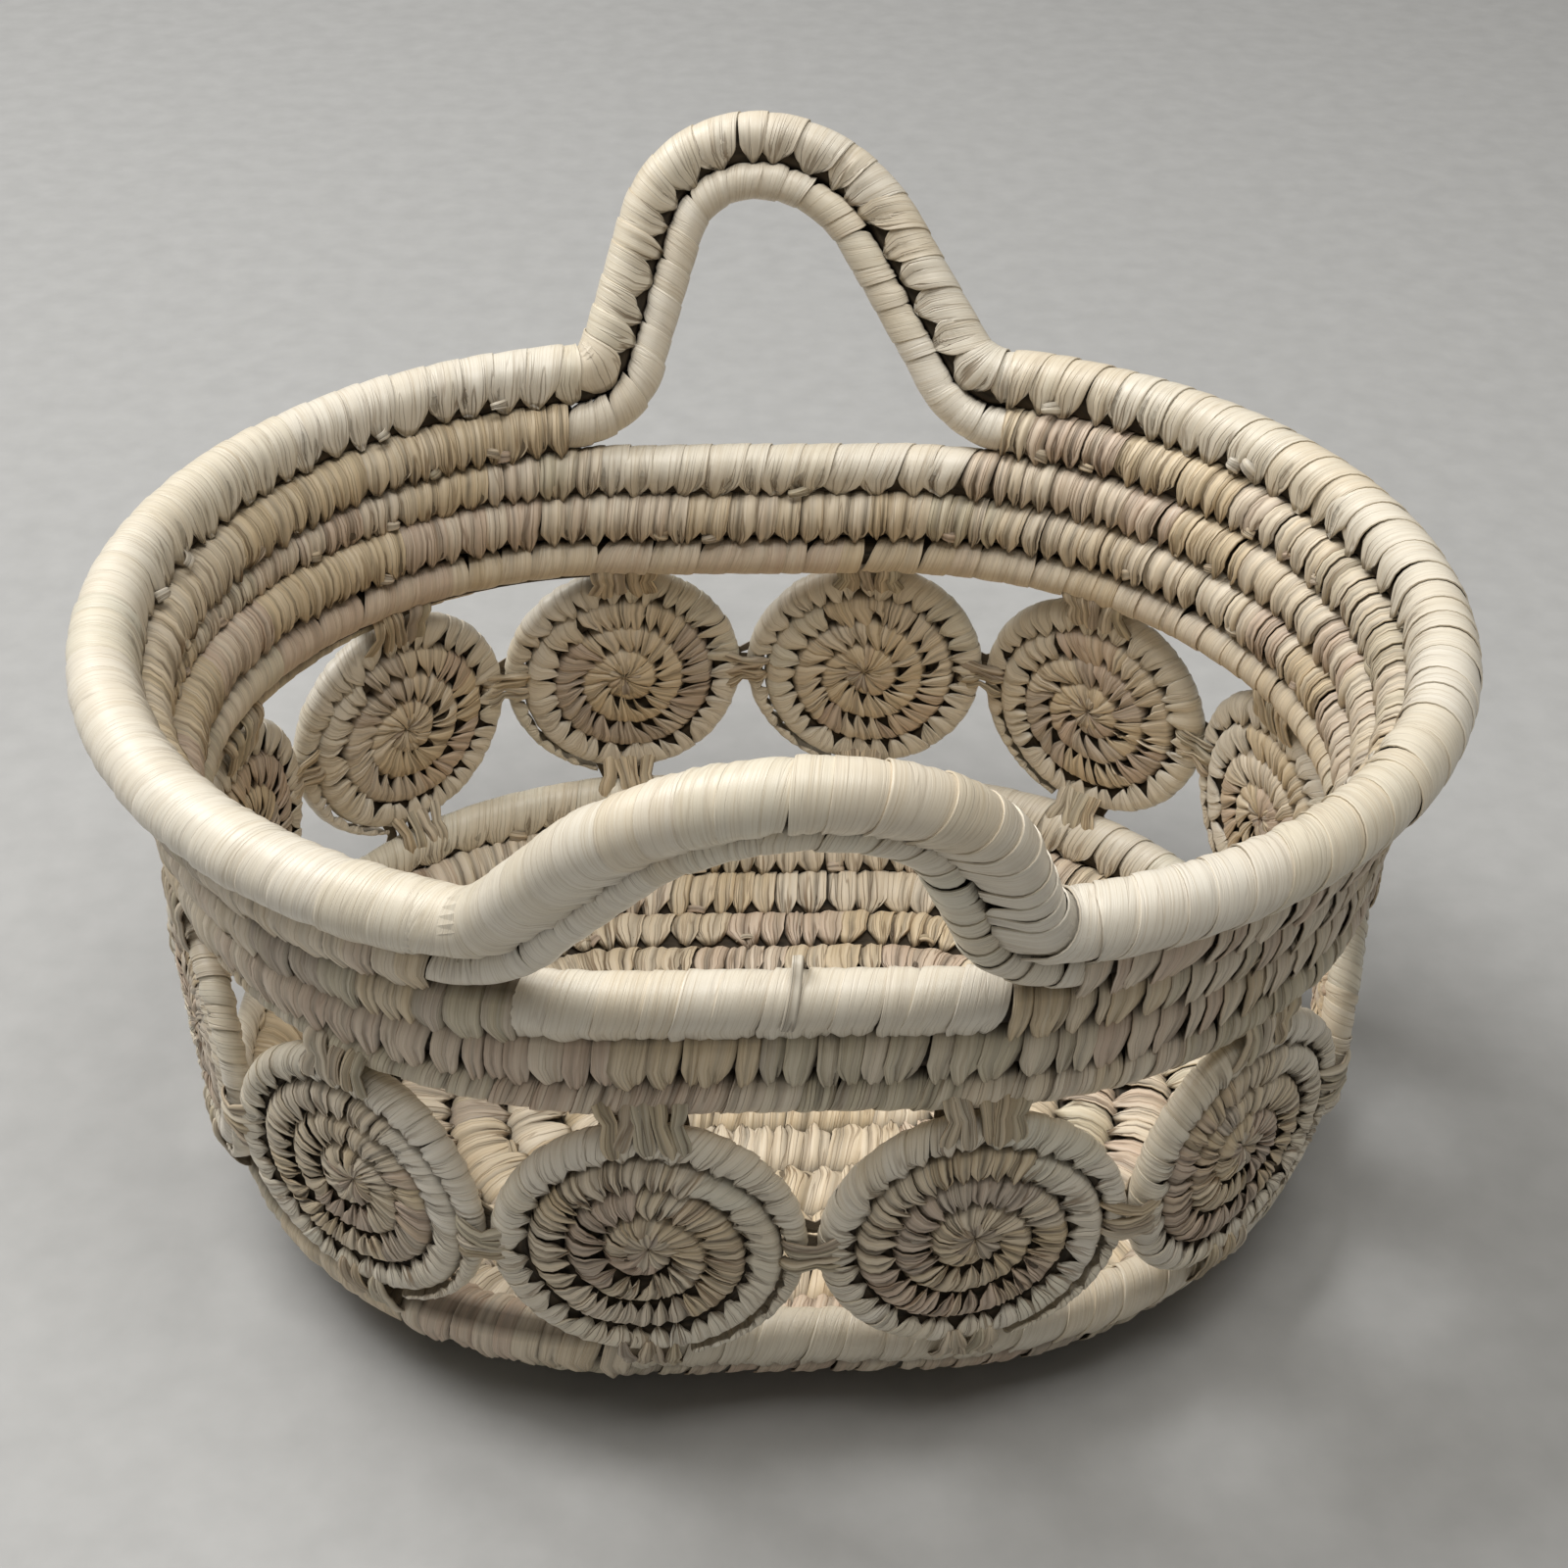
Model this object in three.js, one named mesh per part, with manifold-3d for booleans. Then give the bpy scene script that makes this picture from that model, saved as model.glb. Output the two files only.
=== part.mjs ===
// Oval carrying basket of coiled palm leaf: a coiled bowl, a row of spiral discs lashed edge to edge, and a
// flared band of coil whose top two rows lift off as a carrying handle on each long side.
// Millimetres, +Z up, front towards -Y, origin on the floor under the middle of the basket.
import * as THREE from "three";
import { mergeVertices } from "three/addons/utils/BufferGeometryUtils.js";
import Module from "manifold-3d";

const wasm = await Module();
wasm.setup();

const { degToRad, lerp, clamp, euclideanModulo } = THREE.MathUtils;

// Oval: every row of coil is a stadium, two half circles joined by straights of this half length.
const STRIP_HALF_LENGTH = 42;

// Bowl: flattened coil, in rows that lie flat and then rows that climb a rounded wall.
const BASE_COIL = 18;
const BASE_THICKNESS = 13.8;
const BASE_GAP = 1.7;
const FLOOR_ROWS = 5;
const WALL_ROWS = 3;
const WALL_CURVE_RADIUS = 48.5;
const STRIP_START = 6;

// Discs: flat spirals of a thinner coil that stand upright, lashed to the outer side of the bowl's top row.
// Two of them meet a little along from the middle of the front.
const DISC_COUNT = 12;
const DISC_SHIFT = 6;
const DISC_OVERHANG = 8.5;
const DISC_COIL = 8.8;
const DISC_GAP = 1.5;
const DISC_TIP_TURN = 1 / 6;
const DISC_END_REACH = 0.8;
const DISC_END_RADIUS = 1;

// Lashings: wraps of leaf strip that tie a disc to the disc beside it, the band above and the bowl below.
const LASH_GAP = 2.4;
const LASH_LEAF = 1.5;
const LASH_WAIST = 1.6;
const LASH_GRIP_ANGLE = degToRad(22);
const JOINT_LASH_WIDTH = 15;
const ROW_LASH_WIDTH = 27;
const SEAT = 0.3;

// Band: rows of coil that flare outwards to a thicker rim.
const BAND_COIL = 15.6;
const BAND_GAP = 0.8;
const BAND_ROWS = 3;
const BAND_INSET = 3;
const RIM_COIL = 19;
const FLARE_ANGLE = degToRad(28);

// Handles: the rim rises as the upper strand, and the second row follows close below it. The front one is
// the wider, and both stand a little off the middle of their side and lean along it.
const HANDLE_HEIGHT = 80;
const FRONT_APEX_RADIUS = 54;
const REAR_APEX_RADIUS = 48;
const HANDLE_FOOT_RADIUS = 14;
const HANDLE_LEG_ANGLE = degToRad(66);
const HANDLE_LEAD = 3;
const HANDLE_SHIFT = 10;
const HANDLE_SKEW = 11;
const UPPER_STRAND = 16;
const LOWER_STRAND = 12.5;

// Facets.
const QUARTER_STEPS = 5;
const ROW_SIDES = 6;
const DISC_HALF_STEPS = 6;
const DISC_SIDES = 5;
const STRAND_SIDES = 8;
const END_STEPS = 12;
const FOOT_STEPS = 3;
const APEX_STEPS = 8;
const TIP_RADIUS = 2;

const basePitch = BASE_COIL + BASE_GAP;
const bandPitch = BAND_COIL + BAND_GAP;
const discPitch = DISC_COIL + DISC_GAP;
const UP = new THREE.Vector3(0, 0, 1);

const leafFinish = (color, roughness) => new THREE.MeshStandardMaterial({ color, roughness, metalness: 0 });
const rowLeaf = leafFinish(0xcfc3a6, 0.66);
const smoothLeaf = leafFinish(0xe0d6bd, 0.52);
const discLeaf = leafFinish(0xd3c5a6, 0.64);
const lashLeaf = leafFinish(0xc9ba99, 0.68);

// Swept coils

// A ring of a coil: across points to the neighbouring row, face out of the wall. The half width lies along
// the first and the half thickness along the second.
function coilRing(centre, across, face, radius, depth = radius) {
  return { centre, across, face, radius, depth };
}

// The corners of a ring with one corner towards the next row, centred on its width across the rows.
function ringCorners(ring, sides) {
  const flatSide = sides % 2 ? Math.cos(Math.PI / sides) : 1;
  const swell = 2 / (1 + flatSide);
  const recentre = (swell * (1 - flatSide)) / 2;
  return Array.from({ length: sides }, (_, side) => {
    const angle = (2 * Math.PI * side) / sides;
    return ring.centre
      .clone()
      .addScaledVector(ring.across, ring.radius * (swell * Math.cos(angle) - recentre))
      .addScaledVector(ring.face, ring.depth * swell * Math.sin(angle));
  });
}

// A closed tube through the rings, with flat ends, cut flat where it would go below the lowest height.
function sweep(rings, sides, lowest = -Infinity) {
  const triangles = [];
  for (let ring = 0; ring + 1 < rings.length; ring++) {
    for (let side = 0; side < sides; side++) {
      const a = ring * sides + side;
      const b = ring * sides + ((side + 1) % sides);
      triangles.push(a, b, b + sides, a, b + sides, a + sides);
    }
  }
  const last = (rings.length - 1) * sides;
  for (let side = 1; side + 1 < sides; side++) {
    triangles.push(0, side + 1, side, last, last + side, last + side + 1);
  }
  const corners = rings.flatMap((ring) => ringCorners(ring, sides));
  const positions = corners.flatMap((p) => [p.x, p.y, Math.max(p.z, lowest)]);
  const tube = new THREE.BufferGeometry();
  tube.setAttribute("position", new THREE.Float32BufferAttribute(positions, 3));
  tube.setIndex(runsForward(rings[0], rings[1]) ? triangles : triangles.toReversed());
  return tube;
}

// True where across, face and the way along the tube make a right-handed set.
function runsForward(first, second) {
  const along = second.centre.clone().sub(first.centre);
  return first.across.clone().cross(first.face).dot(along) > 0;
}

// The least gap between two stretches of one coil that lie further apart along it than a few diameters.
function leastGap(rings) {
  const pointsPerStep = 4;
  const diametersApart = 2.2;
  const points = [];
  let travelled = 0;
  for (let i = 0; i + 1 < rings.length; i++) {
    const length = rings[i].centre.distanceTo(rings[i + 1].centre);
    for (let step = 0; step < pointsPerStep; step++) {
      const share = step / pointsPerStep;
      points.push({
        at: rings[i].centre.clone().lerp(rings[i + 1].centre, share),
        radius: lerp(rings[i].radius, rings[i + 1].radius, share),
        travelled: travelled + share * length,
      });
    }
    travelled += length;
  }
  let least = Infinity;
  points.forEach((p, i) => {
    for (const q of points.slice(i + 1)) {
      const near = q.travelled - p.travelled < diametersApart * (p.radius + q.radius);
      if (!near) least = Math.min(least, p.at.distanceTo(q.at) - p.radius - q.radius);
    }
  });
  return least;
}

// The oval

// The stations of one loop of a row: the middle of the bend there, the way out, and how far the row has
// climbed. A loop is level round the front, the right end and the rear, and climbs one row round the left.
function loopStations() {
  const turn = Math.PI / 2 / QUARTER_STEPS;
  const stations = [{ bendX: -STRIP_HALF_LENGTH, angle: -Math.PI / 2, climb: 0 }];
  for (let step = 0; step <= 2 * QUARTER_STEPS; step++) {
    stations.push({ bendX: STRIP_HALF_LENGTH, angle: step * turn - Math.PI / 2, climb: 0 });
  }
  for (let step = 0; step < 2 * QUARTER_STEPS; step++) {
    const climb = step / (2 * QUARTER_STEPS);
    stations.push({ bendX: -STRIP_HALF_LENGTH, angle: step * turn + Math.PI / 2, climb });
  }
  return stations;
}

function ovalLength(offset) {
  return 2 * Math.PI * offset + 4 * STRIP_HALF_LENGTH;
}

// The station at a distance along an oval, from the middle of the front towards +X.
function stationAt(distance, offset) {
  const arc = Math.PI * offset;
  const straight = 2 * STRIP_HALF_LENGTH;
  const from = euclideanModulo(distance + STRIP_HALF_LENGTH, ovalLength(offset));
  if (from < straight) return { bendX: from - STRIP_HALF_LENGTH, angle: -Math.PI / 2 };
  if (from < straight + arc) {
    return { bendX: STRIP_HALF_LENGTH, angle: (from - straight) / offset - Math.PI / 2 };
  }
  if (from < 2 * straight + arc) {
    return { bendX: STRIP_HALF_LENGTH - (from - straight - arc), angle: Math.PI / 2 };
  }
  return { bendX: -STRIP_HALF_LENGTH, angle: (from - 2 * straight - arc) / offset + Math.PI / 2 };
}

// The station that a point lies straight out from.
function stationOf(point) {
  const bendX = clamp(point.x, -STRIP_HALF_LENGTH, STRIP_HALF_LENGTH);
  return { bendX, angle: Math.atan2(point.y, point.x - bendX) };
}

function ovalPoint(station, offset) {
  const x = station.bendX + offset * Math.cos(station.angle);
  return new THREE.Vector3(x, offset * Math.sin(station.angle), 0);
}

// A row's ring at a station, on a profile { offset, height, lean }; lean 0 is a flat floor.
function rowRing(station, profile, radius, depth) {
  const out = new THREE.Vector3(Math.cos(station.angle), Math.sin(station.angle), 0);
  const centre = ovalPoint(station, profile.offset).setZ(profile.height);
  const across = out.clone().multiplyScalar(Math.cos(profile.lean));
  across.addScaledVector(UP, Math.sin(profile.lean));
  const face = out.clone().multiplyScalar(-Math.sin(profile.lean));
  face.addScaledVector(UP, Math.cos(profile.lean));
  return coilRing(centre, across, face, radius, depth);
}

// The bowl's profile: flat out to the last floor row, then a round corner. It stands on a strip of the
// coil's underside that is cut flat, a tenth of the coil's thickness deep.
const floorFlat = BASE_THICKNESS / 10;
const floorHeight = BASE_THICKNESS / 2 - floorFlat;
const floorReach = (FLOOR_ROWS - 0.5) * basePitch;
function bowlRow(row) {
  const distance = (row + 0.5) * basePitch;
  const lean = Math.max(0, distance - floorReach) / WALL_CURVE_RADIUS;
  return {
    offset: Math.min(distance, floorReach) + WALL_CURVE_RADIUS * Math.sin(lean),
    height: floorHeight + WALL_CURVE_RADIUS * (1 - Math.cos(lean)),
    lean,
  };
}
const bowlTop = bowlRow(FLOOR_ROWS + WALL_ROWS - 1);

// The seats of the discs: a polygon with its corners on an oval and one disc on each side. The middles of
// the sides lie inside that oval, so the corners move out until the middles have the discs' offset.
const discOffset = bowlTop.offset + DISC_OVERHANG;

function seatCorners(offset) {
  const step = ovalLength(offset) / DISC_COUNT;
  return Array.from({ length: DISC_COUNT }, (_, corner) => {
    return ovalPoint(stationAt(DISC_SHIFT + corner * step, offset), offset);
  });
}

function seatSides(corners) {
  return corners.map((corner, i) => {
    const next = corners[(i + 1) % DISC_COUNT];
    const along = next.clone().sub(corner);
    return { middle: corner.clone().lerp(next, 0.5), along: along.clone().normalize(), length: along.length() };
  });
}

function fitCorners() {
  const rounds = 8;
  let offset = discOffset;
  for (let round = 0; round < rounds; round++) {
    const offsets = seatSides(seatCorners(offset)).map(({ middle }) => {
      return middle.distanceTo(ovalPoint(stationOf(middle), 0));
    });
    offset += discOffset - offsets.reduce((sum, one) => sum + one, 0) / DISC_COUNT;
  }
  return seatCorners(offset);
}

const corners = fitCorners();
const seats = seatSides(corners);
const discRadius = (Math.min(...seats.map((seat) => seat.length)) - LASH_GAP) / 2;
const discEdge = discRadius - DISC_COIL / 2;

// The height at which two coils with a gap between them pass, one beside the other by an overlap.
function riseOver(lowerCoil, upperCoil, sideways) {
  return Math.sqrt(((lowerCoil + upperCoil) / 2 + LASH_GAP) ** 2 - sideways ** 2);
}
const discHeight = bowlTop.height + riseOver(BASE_COIL, DISC_COIL, DISC_OVERHANG) + discEdge;

// The band's profile: an arc that starts upright over the discs and leans out to the rim, then straight on.
const bandFoot = discHeight + discEdge + riseOver(DISC_COIL, BAND_COIL, BAND_INSET);
const secondRow = BAND_ROWS * bandPitch;
const rimRow = secondRow + (BAND_COIL + RIM_COIL) / 2 + BAND_GAP;
const flareRadius = rimRow / FLARE_ANGLE;
function bandProfile(distance) {
  const lean = Math.min(distance / flareRadius, FLARE_ANGLE);
  const beyond = Math.max(0, distance - rimRow);
  return {
    offset: discOffset - BAND_INSET + flareRadius * (1 - Math.cos(lean)) + beyond * Math.sin(lean),
    height: bandFoot + flareRadius * Math.sin(lean) + beyond * Math.cos(lean),
    lean: Math.PI / 2 - lean,
  };
}
const rimOffset = bandProfile(rimRow).offset;
const rimLength = ovalLength(rimOffset);

// Coils

// Rings of a coil that climbs row by row. A thin tip fills the wedge under its first climb and a thin tail
// the wedge over its last, so that both edges are level.
function climbingRings({ rows, firstRow = 0, pitch, coil, thickness = coil, rowProfile, tip, tail }) {
  const gap = pitch - coil;
  const stations = loopStations();
  const lastRow = firstRow + rows - 1;
  const rings = [];
  const add = (station, row, radius) => {
    if (radius < TIP_RADIUS) return;
    rings.push(rowRing(station, rowProfile(row), radius, (radius * thickness) / coil));
  };
  if (tip) {
    stations.forEach((station) => {
      const radius = (pitch * station.climb - gap) / 2;
      add(station, firstRow + (radius - coil / 2) / pitch, radius);
    });
  }
  for (let row = firstRow; row <= lastRow; row++) {
    stations.forEach((station) => {
      const thinned = tail && row === lastRow && station.climb > 0;
      const radius = thinned ? (pitch * (1 - station.climb) - gap) / 2 : coil / 2;
      add(station, thinned ? row + (coil / 2 - radius) / pitch : row + station.climb, radius);
    });
  }
  if (!tail) add(stations[0], lastRow + 1, coil / 2);
  return rings;
}

// Moves a coil's first ring along the coil, to leave room before its end.
function startLater(rings, distance) {
  const along = rings[1].centre.clone().sub(rings[0].centre).normalize();
  rings[0].centre.addScaledVector(along, distance);
  return rings;
}

const bowlCoil = { pitch: basePitch, coil: BASE_COIL, thickness: BASE_THICKNESS, rowProfile: bowlRow };
const floorRings = startLater(climbingRings({ ...bowlCoil, rows: FLOOR_ROWS }), STRIP_START);
const wallRings = startLater(
  climbingRings({ ...bowlCoil, rows: WALL_ROWS, firstRow: FLOOR_ROWS, tail: true }),
  SEAT,
);
const bandRings = climbingRings({
  rows: BAND_ROWS,
  pitch: bandPitch,
  coil: BAND_COIL,
  rowProfile: (row) => bandProfile(row * bandPitch),
  tip: true,
  tail: true,
});

// Rings of one disc in its own plane: X along the wall, Y up, Z out. Each turn is round for half a turn and
// then draws in by one coil. The outer end thins so that the disc stays round, and the inner end thins too
// and closes the middle.
function discRings() {
  const steps = 2 * DISC_HALF_STEPS;
  const turns = Math.floor((discEdge - DISC_COIL / 2) / discPitch) + 1;
  const innermost = discEdge - discPitch * (turns - 1);
  const face = new THREE.Vector3(0, 0, 1);
  const rings = [];
  const add = (step, radius, coilRadius) => {
    const angle = 2 * Math.PI * (step / steps + DISC_TIP_TURN);
    const across = new THREE.Vector3(Math.cos(angle), Math.sin(angle), 0);
    rings.push(coilRing(across.clone().multiplyScalar(radius), across, face, coilRadius));
  };
  for (let step = 1 - DISC_HALF_STEPS; step < 0; step++) {
    const coilRadius = (discPitch * (1 + step / DISC_HALF_STEPS) - DISC_GAP) / 2;
    if (coilRadius >= TIP_RADIUS) add(step, discRadius - coilRadius, coilRadius);
  }
  for (let step = 0; step < turns * steps; step++) {
    const drawnIn = Math.max(0, (step % steps) / DISC_HALF_STEPS - 1);
    const turn = Math.floor(step / steps);
    const [draw, thinning] = turn === turns - 1 ? [innermost - DISC_END_REACH, drawnIn] : [discPitch, 0];
    const radius = discEdge - discPitch * turn - draw * drawnIn;
    add(step, radius, lerp(DISC_COIL / 2, DISC_END_RADIUS, thinning));
  }
  return rings;
}
const oneDisc = discRings();

// Where each disc stands: upright on its side of the polygon, with its outer face outwards.
const discPlaces = seats.map(({ middle, along }) => {
  const place = new THREE.Matrix4().makeBasis(along, UP, along.clone().cross(UP));
  return place.setPosition(middle.x, middle.y, discHeight);
});

// Handles

// The line of a handle's upper strand, as places { along, above, slope, raised }: along the rim, above it,
// the angle of its slope, and from 0 at the feet to 1 over the legs and the apex.
function handleLine(apexRadius) {
  const beta = HANDLE_LEG_ANGLE;
  const footRise = HANDLE_FOOT_RADIUS * (1 - Math.cos(beta));
  const apexDrop = apexRadius * (1 - Math.cos(beta));
  const legRun = (HANDLE_HEIGHT - footRise - apexDrop) / Math.tan(beta);
  const halfSpan = (HANDLE_FOOT_RADIUS + apexRadius) * Math.sin(beta) + legRun;
  const start = { along: -halfSpan - HANDLE_LEAD, above: 0, slope: 0, raised: 0 };
  const foot = Array.from({ length: FOOT_STEPS + 1 }, (_, step) => {
    const raised = step / FOOT_STEPS;
    const slope = beta * raised;
    const along = HANDLE_FOOT_RADIUS * Math.sin(slope) - halfSpan;
    return { along, above: HANDLE_FOOT_RADIUS * (1 - Math.cos(slope)), slope, raised };
  });
  const apex = Array.from({ length: APEX_STEPS + 1 }, (_, step) => {
    const slope = beta * (1 - (2 * step) / APEX_STEPS);
    const above = HANDLE_HEIGHT - apexRadius * (1 - Math.cos(slope));
    return { along: -apexRadius * Math.sin(slope), above, slope, raised: 1 };
  });
  const otherFoot = [start, ...foot].reverse().map((p) => ({ ...p, along: -p.along, slope: -p.slope }));
  const skew = HANDLE_SKEW / HANDLE_HEIGHT;
  const places = [start, ...foot, ...apex, ...otherFoot].map((p) => ({
    ...p,
    along: p.along + skew * p.above,
    slope: Math.atan2(Math.sin(p.slope), Math.cos(p.slope) + skew * Math.sin(p.slope)),
  }));
  return { places, footAt: halfSpan + HANDLE_LEAD };
}

const handles = {
  front: { ...handleLine(FRONT_APEX_RADIUS), middle: -HANDLE_SHIFT },
  rear: { ...handleLine(REAR_APEX_RADIUS), middle: rimLength / 2 - HANDLE_SHIFT },
};

// Rings of a handle's strand, in the leaning wall over the middle of its side.
function strandRings({ places, middle }, strand) {
  return places.map(({ along, above, slope, raised }) => {
    const upper = lerp(RIM_COIL, UPPER_STRAND, raised) / 2;
    const lower = lerp(BAND_COIL, LOWER_STRAND, raised) / 2;
    const below = strand === "lower" ? upper + lower + BAND_GAP : 0;
    const station = stationAt(middle + along + below * Math.sin(slope), rimOffset);
    const profile = bandProfile(rimRow + above - below * Math.cos(slope));
    const ring = rowRing(station, profile, strand === "lower" ? lower : upper);
    const onward = new THREE.Vector3(-Math.sin(station.angle), Math.cos(station.angle), 0);
    const across = ring.across.clone().multiplyScalar(Math.cos(slope));
    across.addScaledVector(onward, -Math.sin(slope));
    return { ...ring, across };
  });
}

// Rings of the end of a row, from one handle's foot round to the other's.
function endRings(distance, coil, from, to) {
  const profile = bandProfile(distance);
  const start = from.middle + from.footAt + SEAT;
  const end = to.middle - to.footAt - SEAT + (to.middle < from.middle ? rimLength : 0);
  return Array.from({ length: END_STEPS + 1 }, (_, step) => {
    return rowRing(stationAt(lerp(start, end, step / END_STEPS), rimOffset), profile, coil / 2);
  });
}

// Lashings

function solidOf(geometry) {
  const bare = geometry.clone();
  bare.deleteAttribute("normal");
  bare.deleteAttribute("uv");
  const weldDistance = 1e-3;
  const merged = mergeVertices(bare, weldDistance);
  const vertProperties = new Float32Array(merged.attributes.position.array);
  const triVerts = new Uint32Array(merged.index.array);
  return new wasm.Manifold(new wasm.Mesh({ numProp: 3, vertProperties, triVerts }));
}

function geometryOf(solid) {
  const mesh = solid.getMesh();
  const geometry = new THREE.BufferGeometry();
  geometry.setAttribute("position", new THREE.BufferAttribute(mesh.vertProperties, 3));
  geometry.setIndex(new THREE.BufferAttribute(mesh.triVerts, 1));
  return geometry;
}

// The stretches of a coil that pass near a point, swollen by the clearance of a seat.
function nearby({ rings, sides }, point, reach) {
  const near = rings.map((ring) => ring.centre.distanceTo(point) < reach);
  const kept = rings.map((_, i) => near[i] || near[i - 1] || near[i + 1]);
  const runs = [[]];
  rings.forEach((ring, i) => {
    if (!kept[i]) runs.push([]);
    else runs.at(-1).push({ ...ring, radius: ring.radius + SEAT, depth: ring.depth + SEAT });
  });
  return runs.filter((run) => run.length > 1).map((run) => solidOf(sweep(run, sides)));
}

// A wrap of the given outline, drawn out along its third axis, less the coils that it ties.
function lashing(outline, width, axes, at, coils) {
  const shape = new THREE.Shape(outline.map(([x, y]) => new THREE.Vector2(x, y)));
  const wrap = new THREE.ExtrudeGeometry(shape, { depth: width, bevelEnabled: false });
  wrap.translate(0, 0, -width / 2);
  wrap.applyMatrix4(new THREE.Matrix4().makeBasis(...axes).setPosition(at));
  const reach = width + BASE_COIL;
  const cutters = coils.flatMap((coil) => nearby(coil, at, reach));
  const wrapped = cutters.reduce((solid, cutter) => solid.subtract(cutter), solidOf(wrap));
  const pieces = wrapped.decompose().sort((a, b) => b.volume() - a.volume());
  return geometryOf(pieces[0]);
}

// A disc's coil where the disc stands.
function standingDisc(index) {
  const place = discPlaces[(index + DISC_COUNT) % DISC_COUNT];
  const rings = oneDisc.map((ring) => ({
    ...ring,
    centre: ring.centre.clone().applyMatrix4(place),
    across: ring.across.clone().transformDirection(place),
    face: ring.face.clone().transformDirection(place),
  }));
  return { rings, sides: DISC_SIDES };
}

// The wrap between two discs, bent to the angle at which they meet.
function jointLashing(corner) {
  const before = seats[(corner + DISC_COUNT - 1) % DISC_COUNT].along;
  const after = seats[corner].along;
  const along = before.clone().add(after).normalize();
  const out = along.clone().cross(UP);
  const bend = before.angleTo(after) / 2;
  const half = DISC_COIL / 2 + LASH_LEAF;
  const coilAt = (LASH_GAP + DISC_COIL) / 2;
  const endAt = coilAt + half * Math.sin(LASH_GRIP_ANGLE);
  const endHalf = half * Math.cos(LASH_GRIP_ANGLE);
  const waist = half - LASH_WAIST;
  const side = (sign) => [
    [-endAt, sign * endHalf - endAt * Math.tan(bend)],
    [-coilAt, sign * half - coilAt * Math.tan(bend)],
    [0, sign * waist],
    [coilAt, sign * half - coilAt * Math.tan(bend)],
    [endAt, sign * endHalf - endAt * Math.tan(bend)],
  ];
  const outline = [...side(-1), ...side(1).reverse()];
  const at = corners[corner].clone().setZ(discHeight);
  const axes = [along, out, along.clone().cross(out)];
  return lashing(outline, JOINT_LASH_WIDTH, axes, at, [standingDisc(corner - 1), standingDisc(corner)]);
}

// The wrap between a disc's edge and the row of coil over it (way 1) or under it (way -1).
function rowLashing(index, way, row, rowCoil) {
  const { middle, along } = seats[index];
  const at = middle.clone().setZ(discHeight + way * discEdge);
  const joining = row.centre.clone().sub(at).projectOnPlane(along);
  const distance = joining.length();
  joining.normalize();
  const out = along.clone().cross(joining);
  const rowHalf = Math.hypot(row.radius * row.across.dot(out), row.depth * row.face.dot(out)) + LASH_LEAF;
  const discHalf = DISC_COIL / 2 + LASH_LEAF;
  const waistAt = (DISC_COIL + LASH_GAP) / 2;
  const grip = (half) => [half * Math.cos(LASH_GRIP_ANGLE), half * Math.sin(LASH_GRIP_ANGLE)];
  const [discEnd, discPast] = grip(discHalf);
  const [rowEnd, rowPast] = grip(rowHalf);
  const rightSide = [
    [discEnd, -discPast],
    [discHalf, 0],
    [lerp(discHalf, rowHalf, waistAt / distance) - LASH_WAIST, waistAt],
    [rowHalf, distance],
    [rowEnd, distance + rowPast],
  ];
  const leftSide = rightSide.map(([x, y]) => [-x, y]).reverse();
  const axes = [out, joining, out.clone().cross(joining)];
  return lashing([...rightSide, ...leftSide], ROW_LASH_WIDTH, axes, at, [standingDisc(index), rowCoil]);
}

// Assembly

const basket = new THREE.Group();

function addPiece(name, geometry, finish) {
  const mesh = new THREE.Mesh(geometry, finish.clone());
  mesh.name = name;
  basket.add(mesh);
  return mesh;
}

const numbered = (name, index) => `${name}_${String(index + 1).padStart(2, "0")}`;

addPiece("floor_coil", sweep(floorRings, ROW_SIDES, 0), rowLeaf);
addPiece("wall_coil", sweep(wallRings, ROW_SIDES), rowLeaf);
addPiece("band_coil", sweep(bandRings, ROW_SIDES), rowLeaf);

const discGeometry = sweep(oneDisc, DISC_SIDES);
discPlaces.forEach((place, index) => {
  const disc = addPiece(numbered("disc", index), discGeometry, discLeaf);
  place.decompose(disc.position, disc.quaternion, disc.scale);
});

const ends = { right: [handles.front, handles.rear], left: [handles.rear, handles.front] };
for (const [side, [from, to]] of Object.entries(ends)) {
  addPiece(`${side}_second_coil`, sweep(endRings(secondRow, BAND_COIL, from, to), ROW_SIDES), rowLeaf);
  addPiece(`${side}_rim_coil`, sweep(endRings(rimRow, RIM_COIL, from, to), STRAND_SIDES), smoothLeaf);
}

for (const [side, handle] of Object.entries(handles)) {
  for (const strand of ["upper", "lower"]) {
    addPiece(`${side}_handle_${strand}`, sweep(strandRings(handle, strand), STRAND_SIDES), smoothLeaf);
  }
}

const wallCoil = { rings: wallRings, sides: ROW_SIDES };
const bandCoil = { rings: bandRings, sides: ROW_SIDES };
seats.forEach(({ middle }, index) => {
  const station = stationOf(middle);
  const over = rowRing(station, bandProfile(0), BAND_COIL / 2);
  const under = rowRing(station, bowlTop, BASE_COIL / 2, BASE_THICKNESS / 2);
  addPiece(numbered("joint_lashing", index), jointLashing(index), lashLeaf);
  addPiece(numbered("top_lashing", index), rowLashing(index, 1, over, bandCoil), lashLeaf);
  addPiece(numbered("foot_lashing", index), rowLashing(index, -1, under, wallCoil), lashLeaf);
});

const coils = { floor: floorRings, wall: wallRings, band: bandRings, disc: oneDisc };
for (const [name, rings] of Object.entries(coils)) {
  console.log(`${name} coil: least gap to itself ${leastGap(rings).toFixed(2)} mm`);
}

export default basket;
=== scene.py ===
import math
from dataclasses import dataclass, replace

import bpy
import numpy as np
from mathutils import Matrix, Vector


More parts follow.
